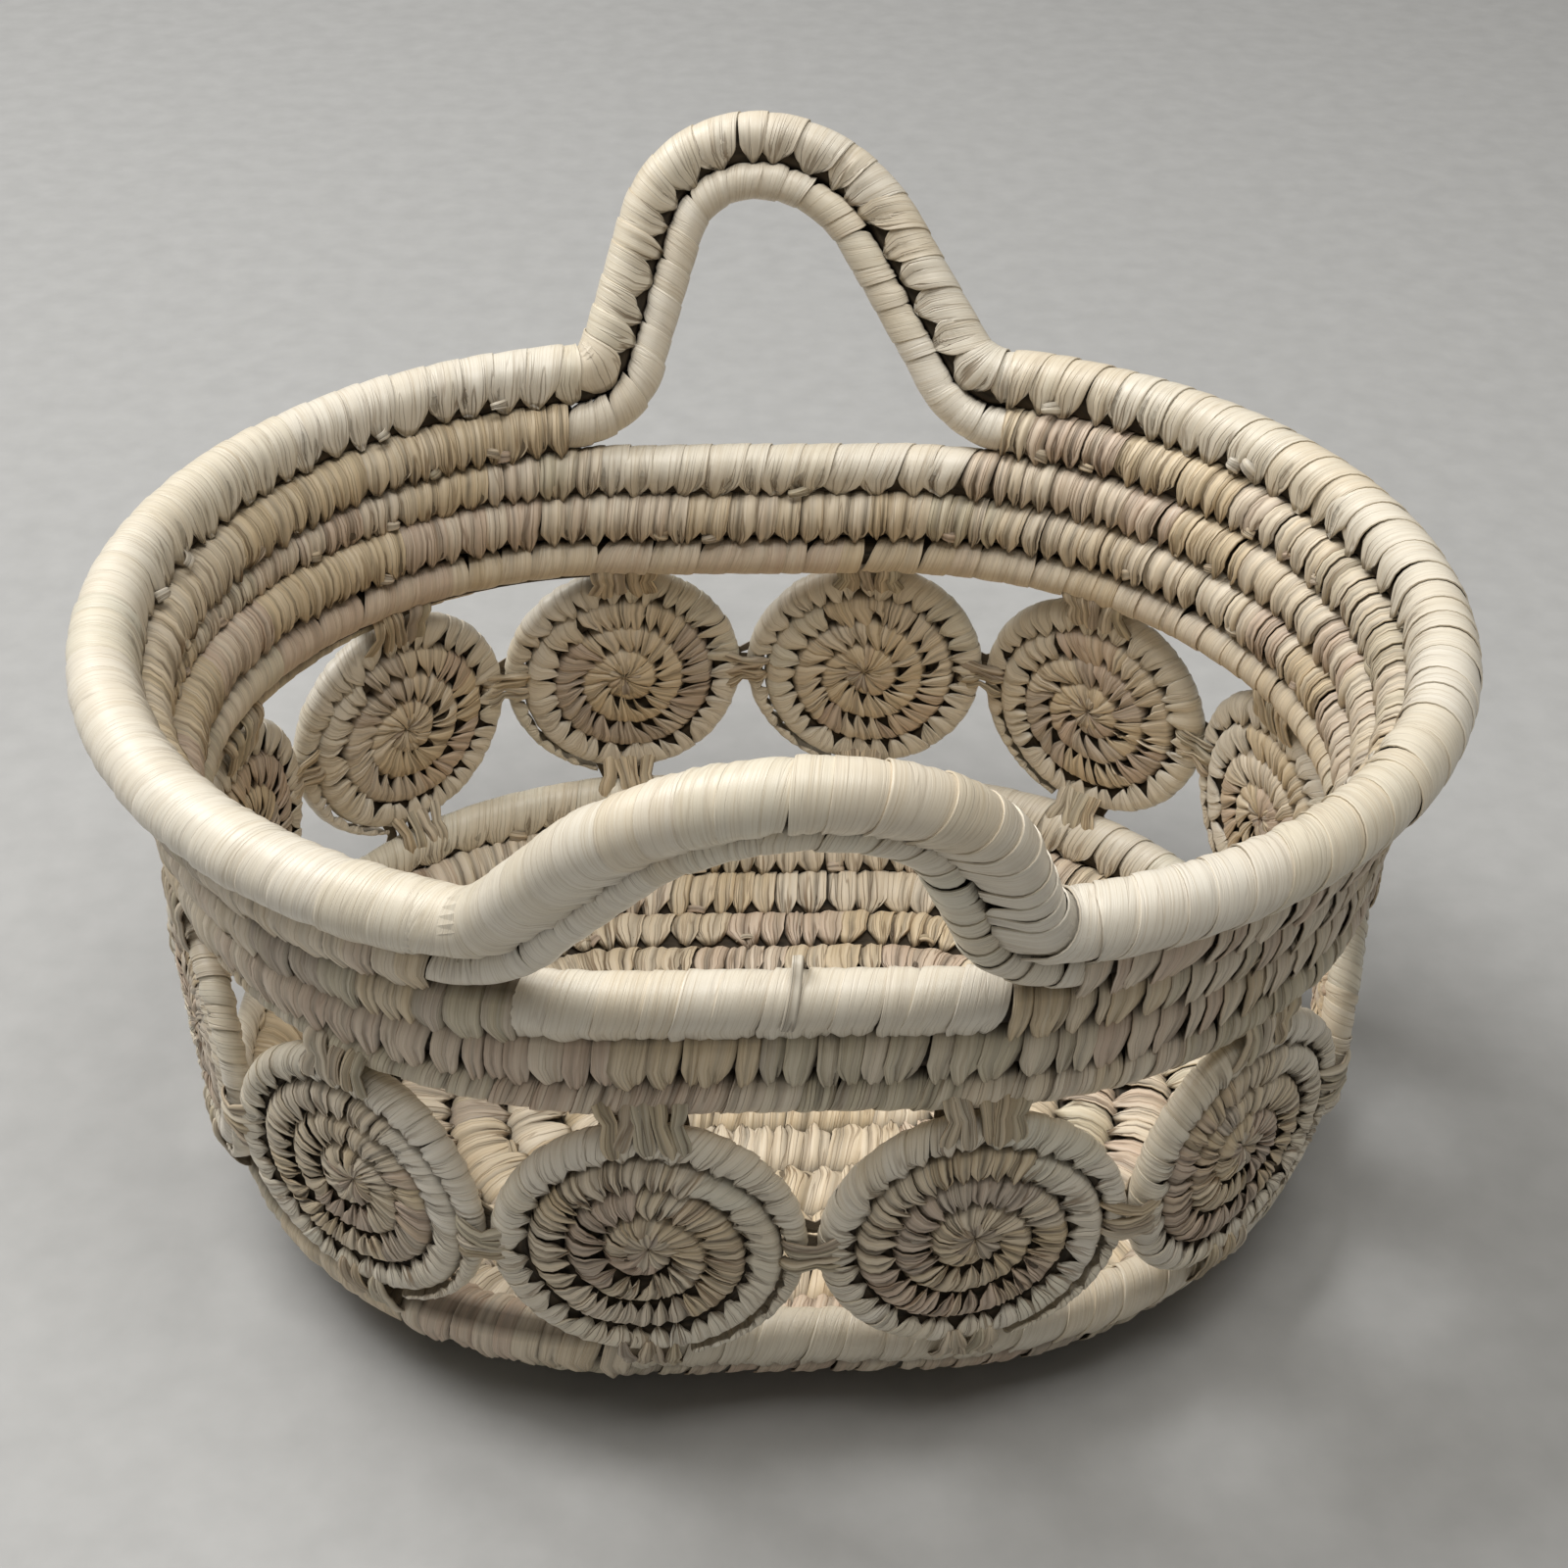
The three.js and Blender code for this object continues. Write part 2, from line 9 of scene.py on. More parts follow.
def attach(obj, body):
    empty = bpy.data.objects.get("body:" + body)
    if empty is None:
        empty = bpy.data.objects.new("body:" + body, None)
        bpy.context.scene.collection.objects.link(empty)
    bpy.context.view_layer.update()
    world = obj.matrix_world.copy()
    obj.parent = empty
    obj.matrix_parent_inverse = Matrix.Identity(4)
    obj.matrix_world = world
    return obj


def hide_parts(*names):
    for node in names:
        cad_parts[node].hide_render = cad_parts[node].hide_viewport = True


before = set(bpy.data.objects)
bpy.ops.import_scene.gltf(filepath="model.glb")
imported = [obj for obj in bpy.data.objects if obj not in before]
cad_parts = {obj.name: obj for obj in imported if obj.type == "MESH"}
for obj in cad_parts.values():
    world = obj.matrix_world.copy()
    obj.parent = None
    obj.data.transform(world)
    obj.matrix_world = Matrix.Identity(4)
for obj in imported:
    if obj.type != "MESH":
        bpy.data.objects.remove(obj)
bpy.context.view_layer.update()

MM = 0.001
UP = np.array([0.0, 0.0, 1.0])

# The sizes of the coils, as in the solids.
STRIP_HALF_LENGTH = 42
BASE_COIL = 18
BASE_THICKNESS = 13.8
BASE_GAP = 1.7
FLOOR_ROWS = 5
WALL_ROWS = 3
WALL_CURVE_RADIUS = 48.5
DISC_COUNT = 12
DISC_SHIFT = 6
DISC_OVERHANG = 8.5
DISC_COIL = 8.8
DISC_GAP = 1.5
DISC_TIP_TURN = 1 / 6
LASH_GAP = 2.4
BAND_COIL = 15.6
BAND_GAP = 0.8
BAND_ROWS = 3
BAND_INSET = 3
RIM_COIL = 19
FLARE_ANGLE = math.radians(28)
HANDLE_HEIGHT = 80
FRONT_APEX_RADIUS = 54
REAR_APEX_RADIUS = 48
HANDLE_FOOT_RADIUS = 14
HANDLE_LEG_ANGLE = math.radians(66)
HANDLE_LEAD = 3
HANDLE_SHIFT = 10
HANDLE_SKEW = 11
UPPER_STRAND = 16
LOWER_STRAND = 12.5
DISC_END_REACH = 0.8
DISC_END_RADIUS = 1

BASE_PITCH = BASE_COIL + BASE_GAP
BAND_PITCH = BAND_COIL + BAND_GAP
DISC_PITCH = DISC_COIL + DISC_GAP

# Coils run on past the ends of their solids: to finer tips, and under the rim's wraps at the handles' feet.
TIP_RADIUS = 0.5
DISC_TIP_RADIUS = 0.5
HANDLE_LAP = 5
LAP_SINK = 2.5

# Leaf strips, and the bundles inside the coils.
LEAF_THICKNESS = 0.45
LAID_COLUMNS = 7
STRIP_BACK_SIDES = 3
LASH_LIFT = 0.9
BUNDLE_SHARE = 0.74
BUNDLE_PRESS = 2.0
BUNDLE_END = 3.0

# Seeds of the unevenness.
BOWL_SEED = 11
BAND_SEED = 23
RIM_SEED = 31
LASHING_SEED = 57
DISC_SEED = 100


def unit(vectors):
    return vectors / np.linalg.norm(vectors, axis=-1, keepdims=True)


def knots(places, pairs):
    """A value at each place from 0 to 1, along a line through (place, value) pairs."""
    at, values = zip(*pairs)
    return np.interp(places, at, values)


# The oval and its profiles


def oval_length(offset):
    return 2 * math.pi * offset + 4 * STRIP_HALF_LENGTH


def station_at(distance, offset):
    """The middle of the bend and the way out, at distances along an oval from the middle of the front."""
    arc = math.pi * offset
    straight = 2 * STRIP_HALF_LENGTH
    gone = np.mod(np.asarray(distance, float) + STRIP_HALF_LENGTH, oval_length(offset))
    stretches = [gone < straight, gone < straight + arc, gone < 2 * straight + arc]
    past_right = gone - straight - arc
    bend_x = np.select(
        stretches,
        [gone - STRIP_HALF_LENGTH, STRIP_HALF_LENGTH, STRIP_HALF_LENGTH - past_right],
        -STRIP_HALF_LENGTH,
    )
    angle = np.select(
        stretches,
        [-math.pi / 2, (gone - straight) / offset - math.pi / 2, math.pi / 2],
        (past_right - straight) / offset + math.pi / 2,
    )
    return bend_x, angle


def way_out(angle):
    return np.stack([np.cos(angle), np.sin(angle), np.zeros_like(angle)], -1)


def oval_point(bend_x, angle, offset):
    point = way_out(angle) * offset
    point[..., 0] += bend_x
    return point


def station_of(point):
    bend_x = np.clip(point[0], -STRIP_HALF_LENGTH, STRIP_HALF_LENGTH)
    return bend_x, math.atan2(point[1], point[0] - bend_x)


FLOOR_HEIGHT_SHARE = 0.4
FLOOR_HEIGHT = BASE_THICKNESS * FLOOR_HEIGHT_SHARE
FLOOR_REACH = (FLOOR_ROWS - 0.5) * BASE_PITCH


def bowl_profile(row):
    distance = (np.asarray(row, float) + 0.5) * BASE_PITCH
    lean = np.maximum(0, distance - FLOOR_REACH) / WALL_CURVE_RADIUS
    offset = np.minimum(distance, FLOOR_REACH) + WALL_CURVE_RADIUS * np.sin(lean)
    return offset, FLOOR_HEIGHT + WALL_CURVE_RADIUS * (1 - np.cos(lean)), lean


BOWL_TOP = bowl_profile(FLOOR_ROWS + WALL_ROWS - 1)
DISC_OFFSET = float(BOWL_TOP[0]) + DISC_OVERHANG


def seat_corners(offset):
    distances = DISC_SHIFT + np.arange(DISC_COUNT) * oval_length(offset) / DISC_COUNT
    return oval_point(*station_at(distances, offset), offset)


def seat_middles(corners):
    return (corners + np.roll(corners, -1, axis=0)) / 2


def fit_corners():
    """Corners between the discs' seats, set out until the seats lie on the discs' oval."""
    rounds = 8
    offset = DISC_OFFSET
    for _ in range(rounds):
        middles = seat_middles(seat_corners(offset))
        bends = np.clip(middles[:, 0], -STRIP_HALF_LENGTH, STRIP_HALF_LENGTH)
        reach = np.hypot(middles[:, 0] - bends, middles[:, 1])
        offset += DISC_OFFSET - reach.mean()
    return seat_corners(offset)


CORNERS = fit_corners()
MIDDLES = seat_middles(CORNERS)
SIDES = np.roll(CORNERS, -1, axis=0) - CORNERS
ALONG = unit(SIDES)
DISC_RADIUS = (np.linalg.norm(SIDES, axis=1).min() - LASH_GAP) / 2
DISC_EDGE = DISC_RADIUS - DISC_COIL / 2


def rise_over(lower_coil, upper_coil, sideways):
    return math.sqrt(((lower_coil + upper_coil) / 2 + LASH_GAP) ** 2 - sideways**2)


DISC_HEIGHT = float(BOWL_TOP[1]) + rise_over(BASE_COIL, DISC_COIL, DISC_OVERHANG) + DISC_EDGE
BAND_FOOT = DISC_HEIGHT + DISC_EDGE + rise_over(DISC_COIL, BAND_COIL, BAND_INSET)
SECOND_ROW = BAND_ROWS * BAND_PITCH
RIM_ROW = SECOND_ROW + (BAND_COIL + RIM_COIL) / 2 + BAND_GAP
FLARE_RADIUS = RIM_ROW / FLARE_ANGLE


def band_profile(distance):
    distance = np.asarray(distance, float)
    lean = np.minimum(distance / FLARE_RADIUS, FLARE_ANGLE)
    beyond = np.maximum(0, distance - RIM_ROW)
    offset = DISC_OFFSET - BAND_INSET + FLARE_RADIUS * (1 - np.cos(lean)) + beyond * np.sin(lean)
    height = BAND_FOOT + FLARE_RADIUS * np.sin(lean) + beyond * np.cos(lean)
    return offset, height, math.pi / 2 - lean


RIM_OFFSET = float(band_profile(RIM_ROW)[0])
RIM_LENGTH = oval_length(RIM_OFFSET)


# Coils


class Coil:
    """A coil's centre line with, at each point, the way to the next row, the way to the inner side, and its
    half width and half thickness."""

    def __init__(self, centre, across, face, half_width, half_depth):
        self.centre = centre
        self.across = unit(across)
        self.face = unit(face)
        self.half_width = np.broadcast_to(half_width, len(centre))
        self.half_depth = np.broadcast_to(half_depth, len(centre))
        steps = np.linalg.norm(np.diff(centre, axis=0), axis=1)
        self.gone = np.concatenate([[0], np.cumsum(steps)])
        self.length = self.gone[-1]
        onward = centre[1] - centre[0]
        self.hand = np.sign(np.dot(np.cross(self.across[0], self.face[0]), onward))

    def at(self, gone, values):
        if values.ndim == 1:
            return np.interp(gone, self.gone, values)
        return np.stack([np.interp(gone, self.gone, column) for column in values.T], -1)

    def place(self, gone, across, face):
        """Points at distances along the coil, by their offsets to the next row and to the inner side."""
        spot = self.at(gone, self.centre)
        spot = spot + self.at(gone, self.across) * across[..., None]
        return spot + self.at(gone, self.face) * face[..., None]

    def half(self, gone):
        return self.at(gone, self.half_width), self.at(gone, self.half_depth)


def row_coil(bend_x, angle, profile, half_width, half_depth):
    offset, height, lean = (np.broadcast_to(part, angle.shape)[:, None] for part in profile)
    out = way_out(angle)
    centre = out * offset + UP * height
    centre[:, 0] += bend_x
    across = out * np.cos(lean) + UP * np.sin(lean)
    face = UP * np.cos(lean) - out * np.sin(lean)
    return Coil(centre, across, face, half_width, half_depth)


def loop_stations():
    """One loop of a row, level round the front, the right and the rear; it climbs a row round the left."""
    bend_steps = 48
    run_steps = 8
    run = np.linspace(-STRIP_HALF_LENGTH, STRIP_HALF_LENGTH, run_steps, endpoint=False)
    bend = np.linspace(0, math.pi, bend_steps, endpoint=False)
    quarter = math.pi / 2
    right = np.full(bend_steps, STRIP_HALF_LENGTH)
    rear = np.full(run_steps, quarter)
    bend_x = np.concatenate([run, right, -run, -right])
    angle = np.concatenate([-rear, bend - quarter, rear, bend + quarter])
    climb = np.concatenate([np.zeros(2 * run_steps + bend_steps), bend / math.pi])
    return bend_x, angle, climb


def climbing_coil(rows, first_row, pitch, coil, thickness, row_profile, tip=False, tail=False):
    """A coil that climbs row by row, and the distance along it at which each of its rows starts."""
    bend_x, angle, climb = loop_stations()
    gap = pitch - coil
    parts = []
    if tip:
        radius = (pitch * climb - gap) / 2
        parts.append((first_row + (radius - coil / 2) / pitch, radius))
    for row in range(first_row, first_row + rows):
        radius = np.full(len(climb), coil / 2)
        level = row + climb
        if tail and row == first_row + rows - 1:
            radius = np.where(climb > 0, (pitch * (1 - climb) - gap) / 2, coil / 2)
            level = row + (coil / 2 - radius) / pitch
        parts.append((level, radius))
    level, radius = (np.concatenate(column) for column in zip(*parts))
    bend_x = np.tile(bend_x, len(parts))
    angle = np.tile(angle, len(parts))
    if not tail:
        bend_x = np.append(bend_x, bend_x[0])
        angle = np.append(angle, angle[0])
        level = np.append(level, first_row + rows)
        radius = np.append(radius, coil / 2)
    kept = radius >= TIP_RADIUS
    profile = row_profile(level[kept])
    made = row_coil(bend_x[kept], angle[kept], profile, radius[kept], radius[kept] * thickness / coil)
    starts = np.cumsum(kept)[np.arange(int(tip), len(parts)) * len(climb)] - 1
    return made, made.gone[starts]


def end_coil(distance, coil, start, end):
    steps = 160
    station = station_at(np.linspace(start, end, steps), RIM_OFFSET)
    return row_coil(*station, band_profile(np.full(steps, distance)), coil / 2, coil / 2)


def handle_line(apex_radius):
    """A handle's upper strand, which laps over the ends of the rim: its places along the rim, heights above
    it, slopes and how far it is raised; and half the length between the rim's ends."""
    beta = HANDLE_LEG_ANGLE
    foot_steps = 17
    apex_steps = 33
    foot_rise = HANDLE_FOOT_RADIUS * (1 - math.cos(beta))
    apex_drop = apex_radius * (1 - math.cos(beta))
    leg_run = (HANDLE_HEIGHT - foot_rise - apex_drop) / math.tan(beta)
    half_span = (HANDLE_FOOT_RADIUS + apex_radius) * math.sin(beta) + leg_run
    foot = np.linspace(0, 1, foot_steps)
    apex = np.linspace(1, 0, apex_steps)
    lead = np.array([-half_span - HANDLE_LEAD - HANDLE_LAP])
    along = np.concatenate([
        lead,
        HANDLE_FOOT_RADIUS * np.sin(beta * foot) - half_span,
        -apex_radius * np.sin(beta * apex),
    ])
    above = np.concatenate([
        [0],
        HANDLE_FOOT_RADIUS * (1 - np.cos(beta * foot)),
        HANDLE_HEIGHT - apex_radius * (1 - np.cos(beta * apex)),
    ])
    slope = np.concatenate([[0], beta * foot, beta * apex])
    raised = np.concatenate([[0], foot, np.ones(apex_steps)])
    halves = ((along, -1), (above, 1), (slope, -1), (raised, 1))
    along, above, slope, raised = (np.concatenate([half, sign * half[-2::-1]]) for half, sign in halves)
    skew = HANDLE_SKEW / HANDLE_HEIGHT
    leaning = np.arctan2(np.sin(slope), np.cos(slope) + skew * np.sin(slope))
    return (along + skew * above, above, leaning, raised), half_span + HANDLE_LEAD


def strand_coil(line, middle, strand):
    along, above, slope, raised = line
    upper = (RIM_COIL + (UPPER_STRAND - RIM_COIL) * raised) / 2
    lower = (BAND_COIL + (LOWER_STRAND - BAND_COIL) * raised) / 2
    below = upper + lower + BAND_GAP if strand == "lower" else 0 * upper
    bend_x, angle = station_at(middle + along + below * np.sin(slope), RIM_OFFSET)
    upper[[0, -1]] -= LAP_SINK
    half = lower if strand == "lower" else upper
    flat = row_coil(bend_x, angle, band_profile(RIM_ROW + above - below * np.cos(slope)), half, half)
    onward = np.stack([-np.sin(angle), np.cos(angle), np.zeros_like(angle)], -1)
    across = flat.across * np.cos(slope)[:, None] - onward * np.sin(slope)[:, None]
    return Coil(flat.centre, across, flat.face, half, half)


def disc_coil():
    """One disc's spiral in its own plane, X along the wall, Y up, Z out, from its outer end inwards, and the
    distance along it at which its second turn starts."""
    turn_steps = 96
    depth_share = 0.75
    turns = int((DISC_EDGE - DISC_COIL / 2) // DISC_PITCH) + 1
    lead = np.arange(-turn_steps // 2 + 1, 0) * 2 / turn_steps
    lead_radius = (DISC_PITCH * (1 + lead) - DISC_GAP) / 2
    lead = lead[lead_radius >= DISC_TIP_RADIUS]
    lead_radius = lead_radius[lead_radius >= DISC_TIP_RADIUS]
    step = np.arange(turns * turn_steps) / turn_steps
    drawn_in = np.maximum(0, 2 * (step % 1) - 1)
    last = step >= turns - 1
    innermost = DISC_EDGE - DISC_PITCH * (turns - 1)
    draw = np.where(last, innermost - DISC_END_REACH, DISC_PITCH)
    reach = DISC_EDGE - DISC_PITCH * np.floor(step) - draw * drawn_in
    radius = DISC_COIL / 2 + (DISC_END_RADIUS - DISC_COIL / 2) * np.where(last, drawn_in, 0)
    angle = 2 * math.pi * (np.concatenate([lead / 2, step]) + DISC_TIP_TURN)
    reach = np.concatenate([DISC_RADIUS - lead_radius, reach])
    across = way_out(angle)
    face = np.broadcast_to(UP, across.shape)
    half = np.concatenate([lead_radius, radius])
    coil = Coil(across * reach[:, None], across, face, half, np.maximum(half, depth_share * DISC_COIL / 2))
    return coil, coil.gone[len(lead) + turn_steps]


# Leafwork


class Leafwork:
    """Gathers the closed bodies of one piece: its points and, at each point, the place on the leaf strip, the
    strip's dye, how much painted shade it gets and how far the strip is gathered there."""

    def __init__(self):
        self.parts = []

    def add(self, points, leaf, dye, crease, gather, finish, flat_sides=0):
        """Tubes as points[tube, ring, corner]; the last flat_sides sides of a ring keep sharp edges."""
        marks = [np.broadcast_to(mark, points.shape[:3]) for mark in (dye, crease, gather)]
        self.parts.append((points, leaf, marks, finish, flat_sides))

    def mesh(self, name):
        first = 0
        corners, totals, finishes, smooth, maps = [], [], [], [], []
        for number, (points, _, _, finish, flat_sides) in enumerate(self.parts):
            tubes, rings, sides = points.shape[:3]
            ring = np.arange(rings)[:, None] * sides
            side = np.arange(sides)[None, :]
            onward = (side + 1) % sides
            quads = np.stack([ring[:-1] + side, ring[:-1] + onward, ring[1:] + onward, ring[1:] + side], -1)
            caps = np.stack([np.arange(sides)[::-1], np.arange(sides) + (rings - 1) * sides])
            base = first + np.arange(tubes)[:, None, None] * rings * sides
            corners.append((base + quads.reshape(1, -1, 4)).ravel())
            corners.append((base + caps[None]).ravel())
            quad_count = tubes * (rings - 1) * sides
            totals += [np.full(quad_count, 4), np.full(tubes * 2, sides)]
            finishes.append(np.full(quad_count + tubes * 2, finish))
            soft = np.broadcast_to(side < sides - flat_sides, (tubes, rings - 1, sides))
            smooth += [soft.ravel(), np.zeros(tubes * 2, bool)]
            maps.append(self.spread(number, tubes, rings, sides))
            first += tubes * rings * sides
        made = bpy.data.meshes.new(name)
        corners, totals = np.concatenate(corners), np.concatenate(totals)
        starts = np.concatenate([[0], np.cumsum(totals)[:-1]])
        points = np.concatenate([part[0].reshape(-1, 3) for part in self.parts]) * MM
        made.vertices.add(len(points))
        made.vertices.foreach_set("co", points.astype(np.float32).ravel())
        made.loops.add(len(corners))
        made.loops.foreach_set("vertex_index", corners.astype(np.int32))
        made.polygons.add(len(totals))
        made.polygons.foreach_set("loop_start", starts.astype(np.int32))
        made.polygons.foreach_set("material_index", np.concatenate(finishes).astype(np.int32))
        made.polygons.foreach_set("use_smooth", np.concatenate(smooth))
        made.update(calc_edges=True)
        leaf = np.concatenate([part[1].reshape(-1, 3) for part in self.parts]).astype(np.float32)
        made.attributes.new("leaf", "FLOAT_VECTOR", "POINT").data.foreach_set("vector", leaf.ravel())
        for index, label in enumerate(("dye", "crease", "gather")):
            values = np.concatenate([part[2][index].ravel() for part in self.parts])
            made.attributes.new(label, "FLOAT", "POINT").data.foreach_set("value", values.astype(np.float32))
        spread = made.uv_layers.new(name="OFBake")
        spread.uv.foreach_set("vector", np.concatenate(maps).astype(np.float32).ravel())
        return made

    def spread(self, number, tubes, rings, sides):
        """A flat map for these tubes: each has a cell of its own in this part's share of the square."""
        weights = np.array([part[0].shape[0] * part[0].shape[1] for part in self.parts], float) ** 0.8
        share = weights / weights.sum()
        low = share[:number].sum()
        columns = max(1, int(math.sqrt(tubes * 2 / share[number])))
        lines = math.ceil(tubes / columns)
        tube = np.arange(tubes)
        margin = 0.06
        cell = np.stack([tube % columns / columns, low + share[number] * (tube // columns) / lines], -1)
        size = np.array([1 / columns, share[number] / lines])
        j, k = np.meshgrid(np.arange(rings), np.arange(sides + 1), indexing="ij")
        grid = margin + (1 - 2 * margin) * np.stack([k / sides, j / (rings - 1)], -1)
        quads = np.stack([grid[:-1, :-1], grid[:-1, 1:], grid[1:, 1:], grid[1:, :-1]], 2).reshape(-1, 2)
        caps = np.concatenate([grid[0, :-1][::-1], grid[-1, :-1]])
        placed = [(cell[:, None] + size * part[None]).reshape(-1, 2) for part in (quads, caps)]
        return np.concatenate(placed)


def strip_columns(count):
    """Places across a strip from -1 to 1, closer at its edges, then the two corners of its back."""
    edge = 0.94
    middle = np.linspace(-edge, edge, count - 2)
    across = np.concatenate([[-1], middle, [1, 1, -1]])
    back = np.concatenate([np.zeros(count), [1, 1]])
    return across, back


def dye_runs(count, rng):
    """A dye for each wrap: one leaf sews a few wraps before the next is taken up."""
    runs = rng.integers(2, 8, count + 1)
    dyes = np.repeat(rng.random(count + 1), runs)[:count]
    return np.clip(dyes + rng.normal(0, 0.04, count), 0, 1)


@dataclass
class Stitch:
    """A wrap of leaf round a coil, from its inner side over the edge towards the next row to its outer side.
    It leaves the coil at the two angles and runs on as a tail, and the pairs give values along it."""

    pitch: float
    angles: tuple
    tails: tuple
    width: tuple
    pleats: tuple
    rise: tuple
    crown: tuple
    fans: tuple = ((0, 1), (0.5, 0.6), (0.75, 0.4), (1, 0.5))
    # These three set painted shade: in the pleat valleys, in the seam under the next row's tabs, and along
    # the edge that the next strip laps over and on the strip's back.
    valley_shade: float = 0.35
    seam: float = 0.0
    lip: float = 1.0
    scallop: float = 0.25
    ragged: float = 0.22
    slant: float = 0.0
    lap: float = 1.1
    tilt: float = 0.3
    unevenness: float = 0.22
    columns: int = 9
    arc_steps: int = 10
    tail_steps: int = 2


KNUCKLE = Stitch(
    pitch=7.2,
    angles=(106, -104),
    tails=(1.02, 1.12),
    width=(
        (0, 0.48), (0.05, 0.72), (0.14, 1), (0.3, 1.02), (0.5, 0.97),
        (0.66, 0.97), (0.78, 0.92), (0.9, 0.74), (1, 0.46),
    ),
    pleats=((0, 0.9), (0.1, 1.0), (0.28, 0.6), (0.5, 0.2), (0.7, 0.3), (0.88, 0.5), (1, 0.5)),
    rise=((0, -0.5), (0.07, 0.4), (0.2, 0.8), (0.5, 0.1), (0.72, 0.3), (0.88, 1.1), (1, 1.3)),
    crown=((0, 0.7), (0.25, 1.1), (0.5, 0.7), (0.75, 0.5), (1, 0.3)),
    valley_shade=0.9,
    seam=0.8,
    lip=2.4,
    ragged=0.3,
    tilt=0.5,
    lap=1.13,
    unevenness=0.36,
    arc_steps=9,
    tail_steps=3,
)
RIM_WRAP = Stitch(
    pitch=10.8,
    angles=(112, -112),
    tails=(0.9, 0.9),
    width=((0, 0.55), (0.05, 0.78), (0.13, 1), (0.32, 1), (0.85, 1), (0.93, 0.97), (1, 0.8)),
    pleats=((0, 0.7), (0.14, 0.7), (0.28, 0.25), (0.4, 0.05), (0.75, 0.05), (0.9, 0.25), (1, 0.5)),
    rise=((0, -0.6), (0.06, 0.1), (0.2, 0.2), (0.8, 0.1), (0.92, 0.5), (1, 0.5)),
    crown=((0, 0.4), (0.25, 0.22), (0.8, 0.2), (1, 0.3)),
    scallop=0.35,
    lap=1.16,
    unevenness=0.3,
    arc_steps=15,
    tail_steps=3,
)
FULL_WRAP = Stitch(
    pitch=10.4,
    angles=(346, 14),
    tails=(0, 0),
    width=((0, 0.8), (0.15, 1), (0.85, 1), (1, 0.8)),
    pleats=((0, 0.4), (0.2, 0.12), (0.35, 0), (0.65, 0), (0.8, 0.12), (1, 0.4)),
    rise=((0, -0.5), (0.1, 0.1), (0.9, 0.1), (1, -0.5)),
    crown=((0, 0.25), (1, 0.25)),
    lap=1.12,
    tilt=0.28,
    unevenness=0.25,
    arc_steps=20,
    tail_steps=0,
)
FOOT_WRAP = replace(
    FULL_WRAP,
    pleats=((0, 0.6), (0.12, 0.5), (0.3, 0.4), (0.42, 0.05), (0.7, 0.1), (1, 0.4)),
    valley_shade=0.9,
    seam=0.9,
)
STRAND_WRAP = replace(RIM_WRAP, angles=(116, -116), tails=(0.9, 0.85), pitch=11.5, lip=0.2)
BOWL_STITCH = replace(KNUCKLE, pitch=9.0)
DISC_RIM = replace(
    RIM_WRAP,
    pitch=7.0,
    angles=(104, -100),
    tails=(1.15, 1.35),
    width=((0, 0.5), (0.08, 0.85), (0.18, 1), (0.75, 1), (0.9, 0.85), (1, 0.4)),
    pleats=((0, 0.9), (0.18, 0.8), (0.35, 0.3), (0.5, 0.1), (0.65, 0.3), (0.82, 0.6), (1, 0.7)),
    crown=((0, 0.5), (0.4, 0.35), (0.6, 0.35), (1, 0.6)),
    columns=7,
    arc_steps=9,
    tail_steps=2,
)
DISC_STITCH = replace(
    KNUCKLE,
    pitch=5.4,
    angles=(100, -97),
    tails=(1.4, 1.75),
    width=((0, 0.3), (0.07, 0.72), (0.18, 1), (0.5, 1), (0.68, 1.05), (0.82, 1), (0.93, 0.6), (1, 0.14)),
    pleats=((0, 0.9), (0.15, 1.0), (0.4, 0.4), (0.6, 0.25), (0.8, 0.45), (1, 0.4)),
    rise=((0, 0.2), (0.1, 0.5), (0.25, 0.3), (0.5, 0), (0.7, 0.3), (0.88, 0.8), (1, 0.5)),
    crown=((0, 0.5), (0.15, 0.8), (0.4, 0.5), (0.65, 0.8), (0.9, 1.2), (1, 0.6)),
    fans=((0, 1), (1, 0.7)),
    valley_shade=1.0,
    slant=0.75,
    unevenness=0.42,
    arc_steps=7,
)


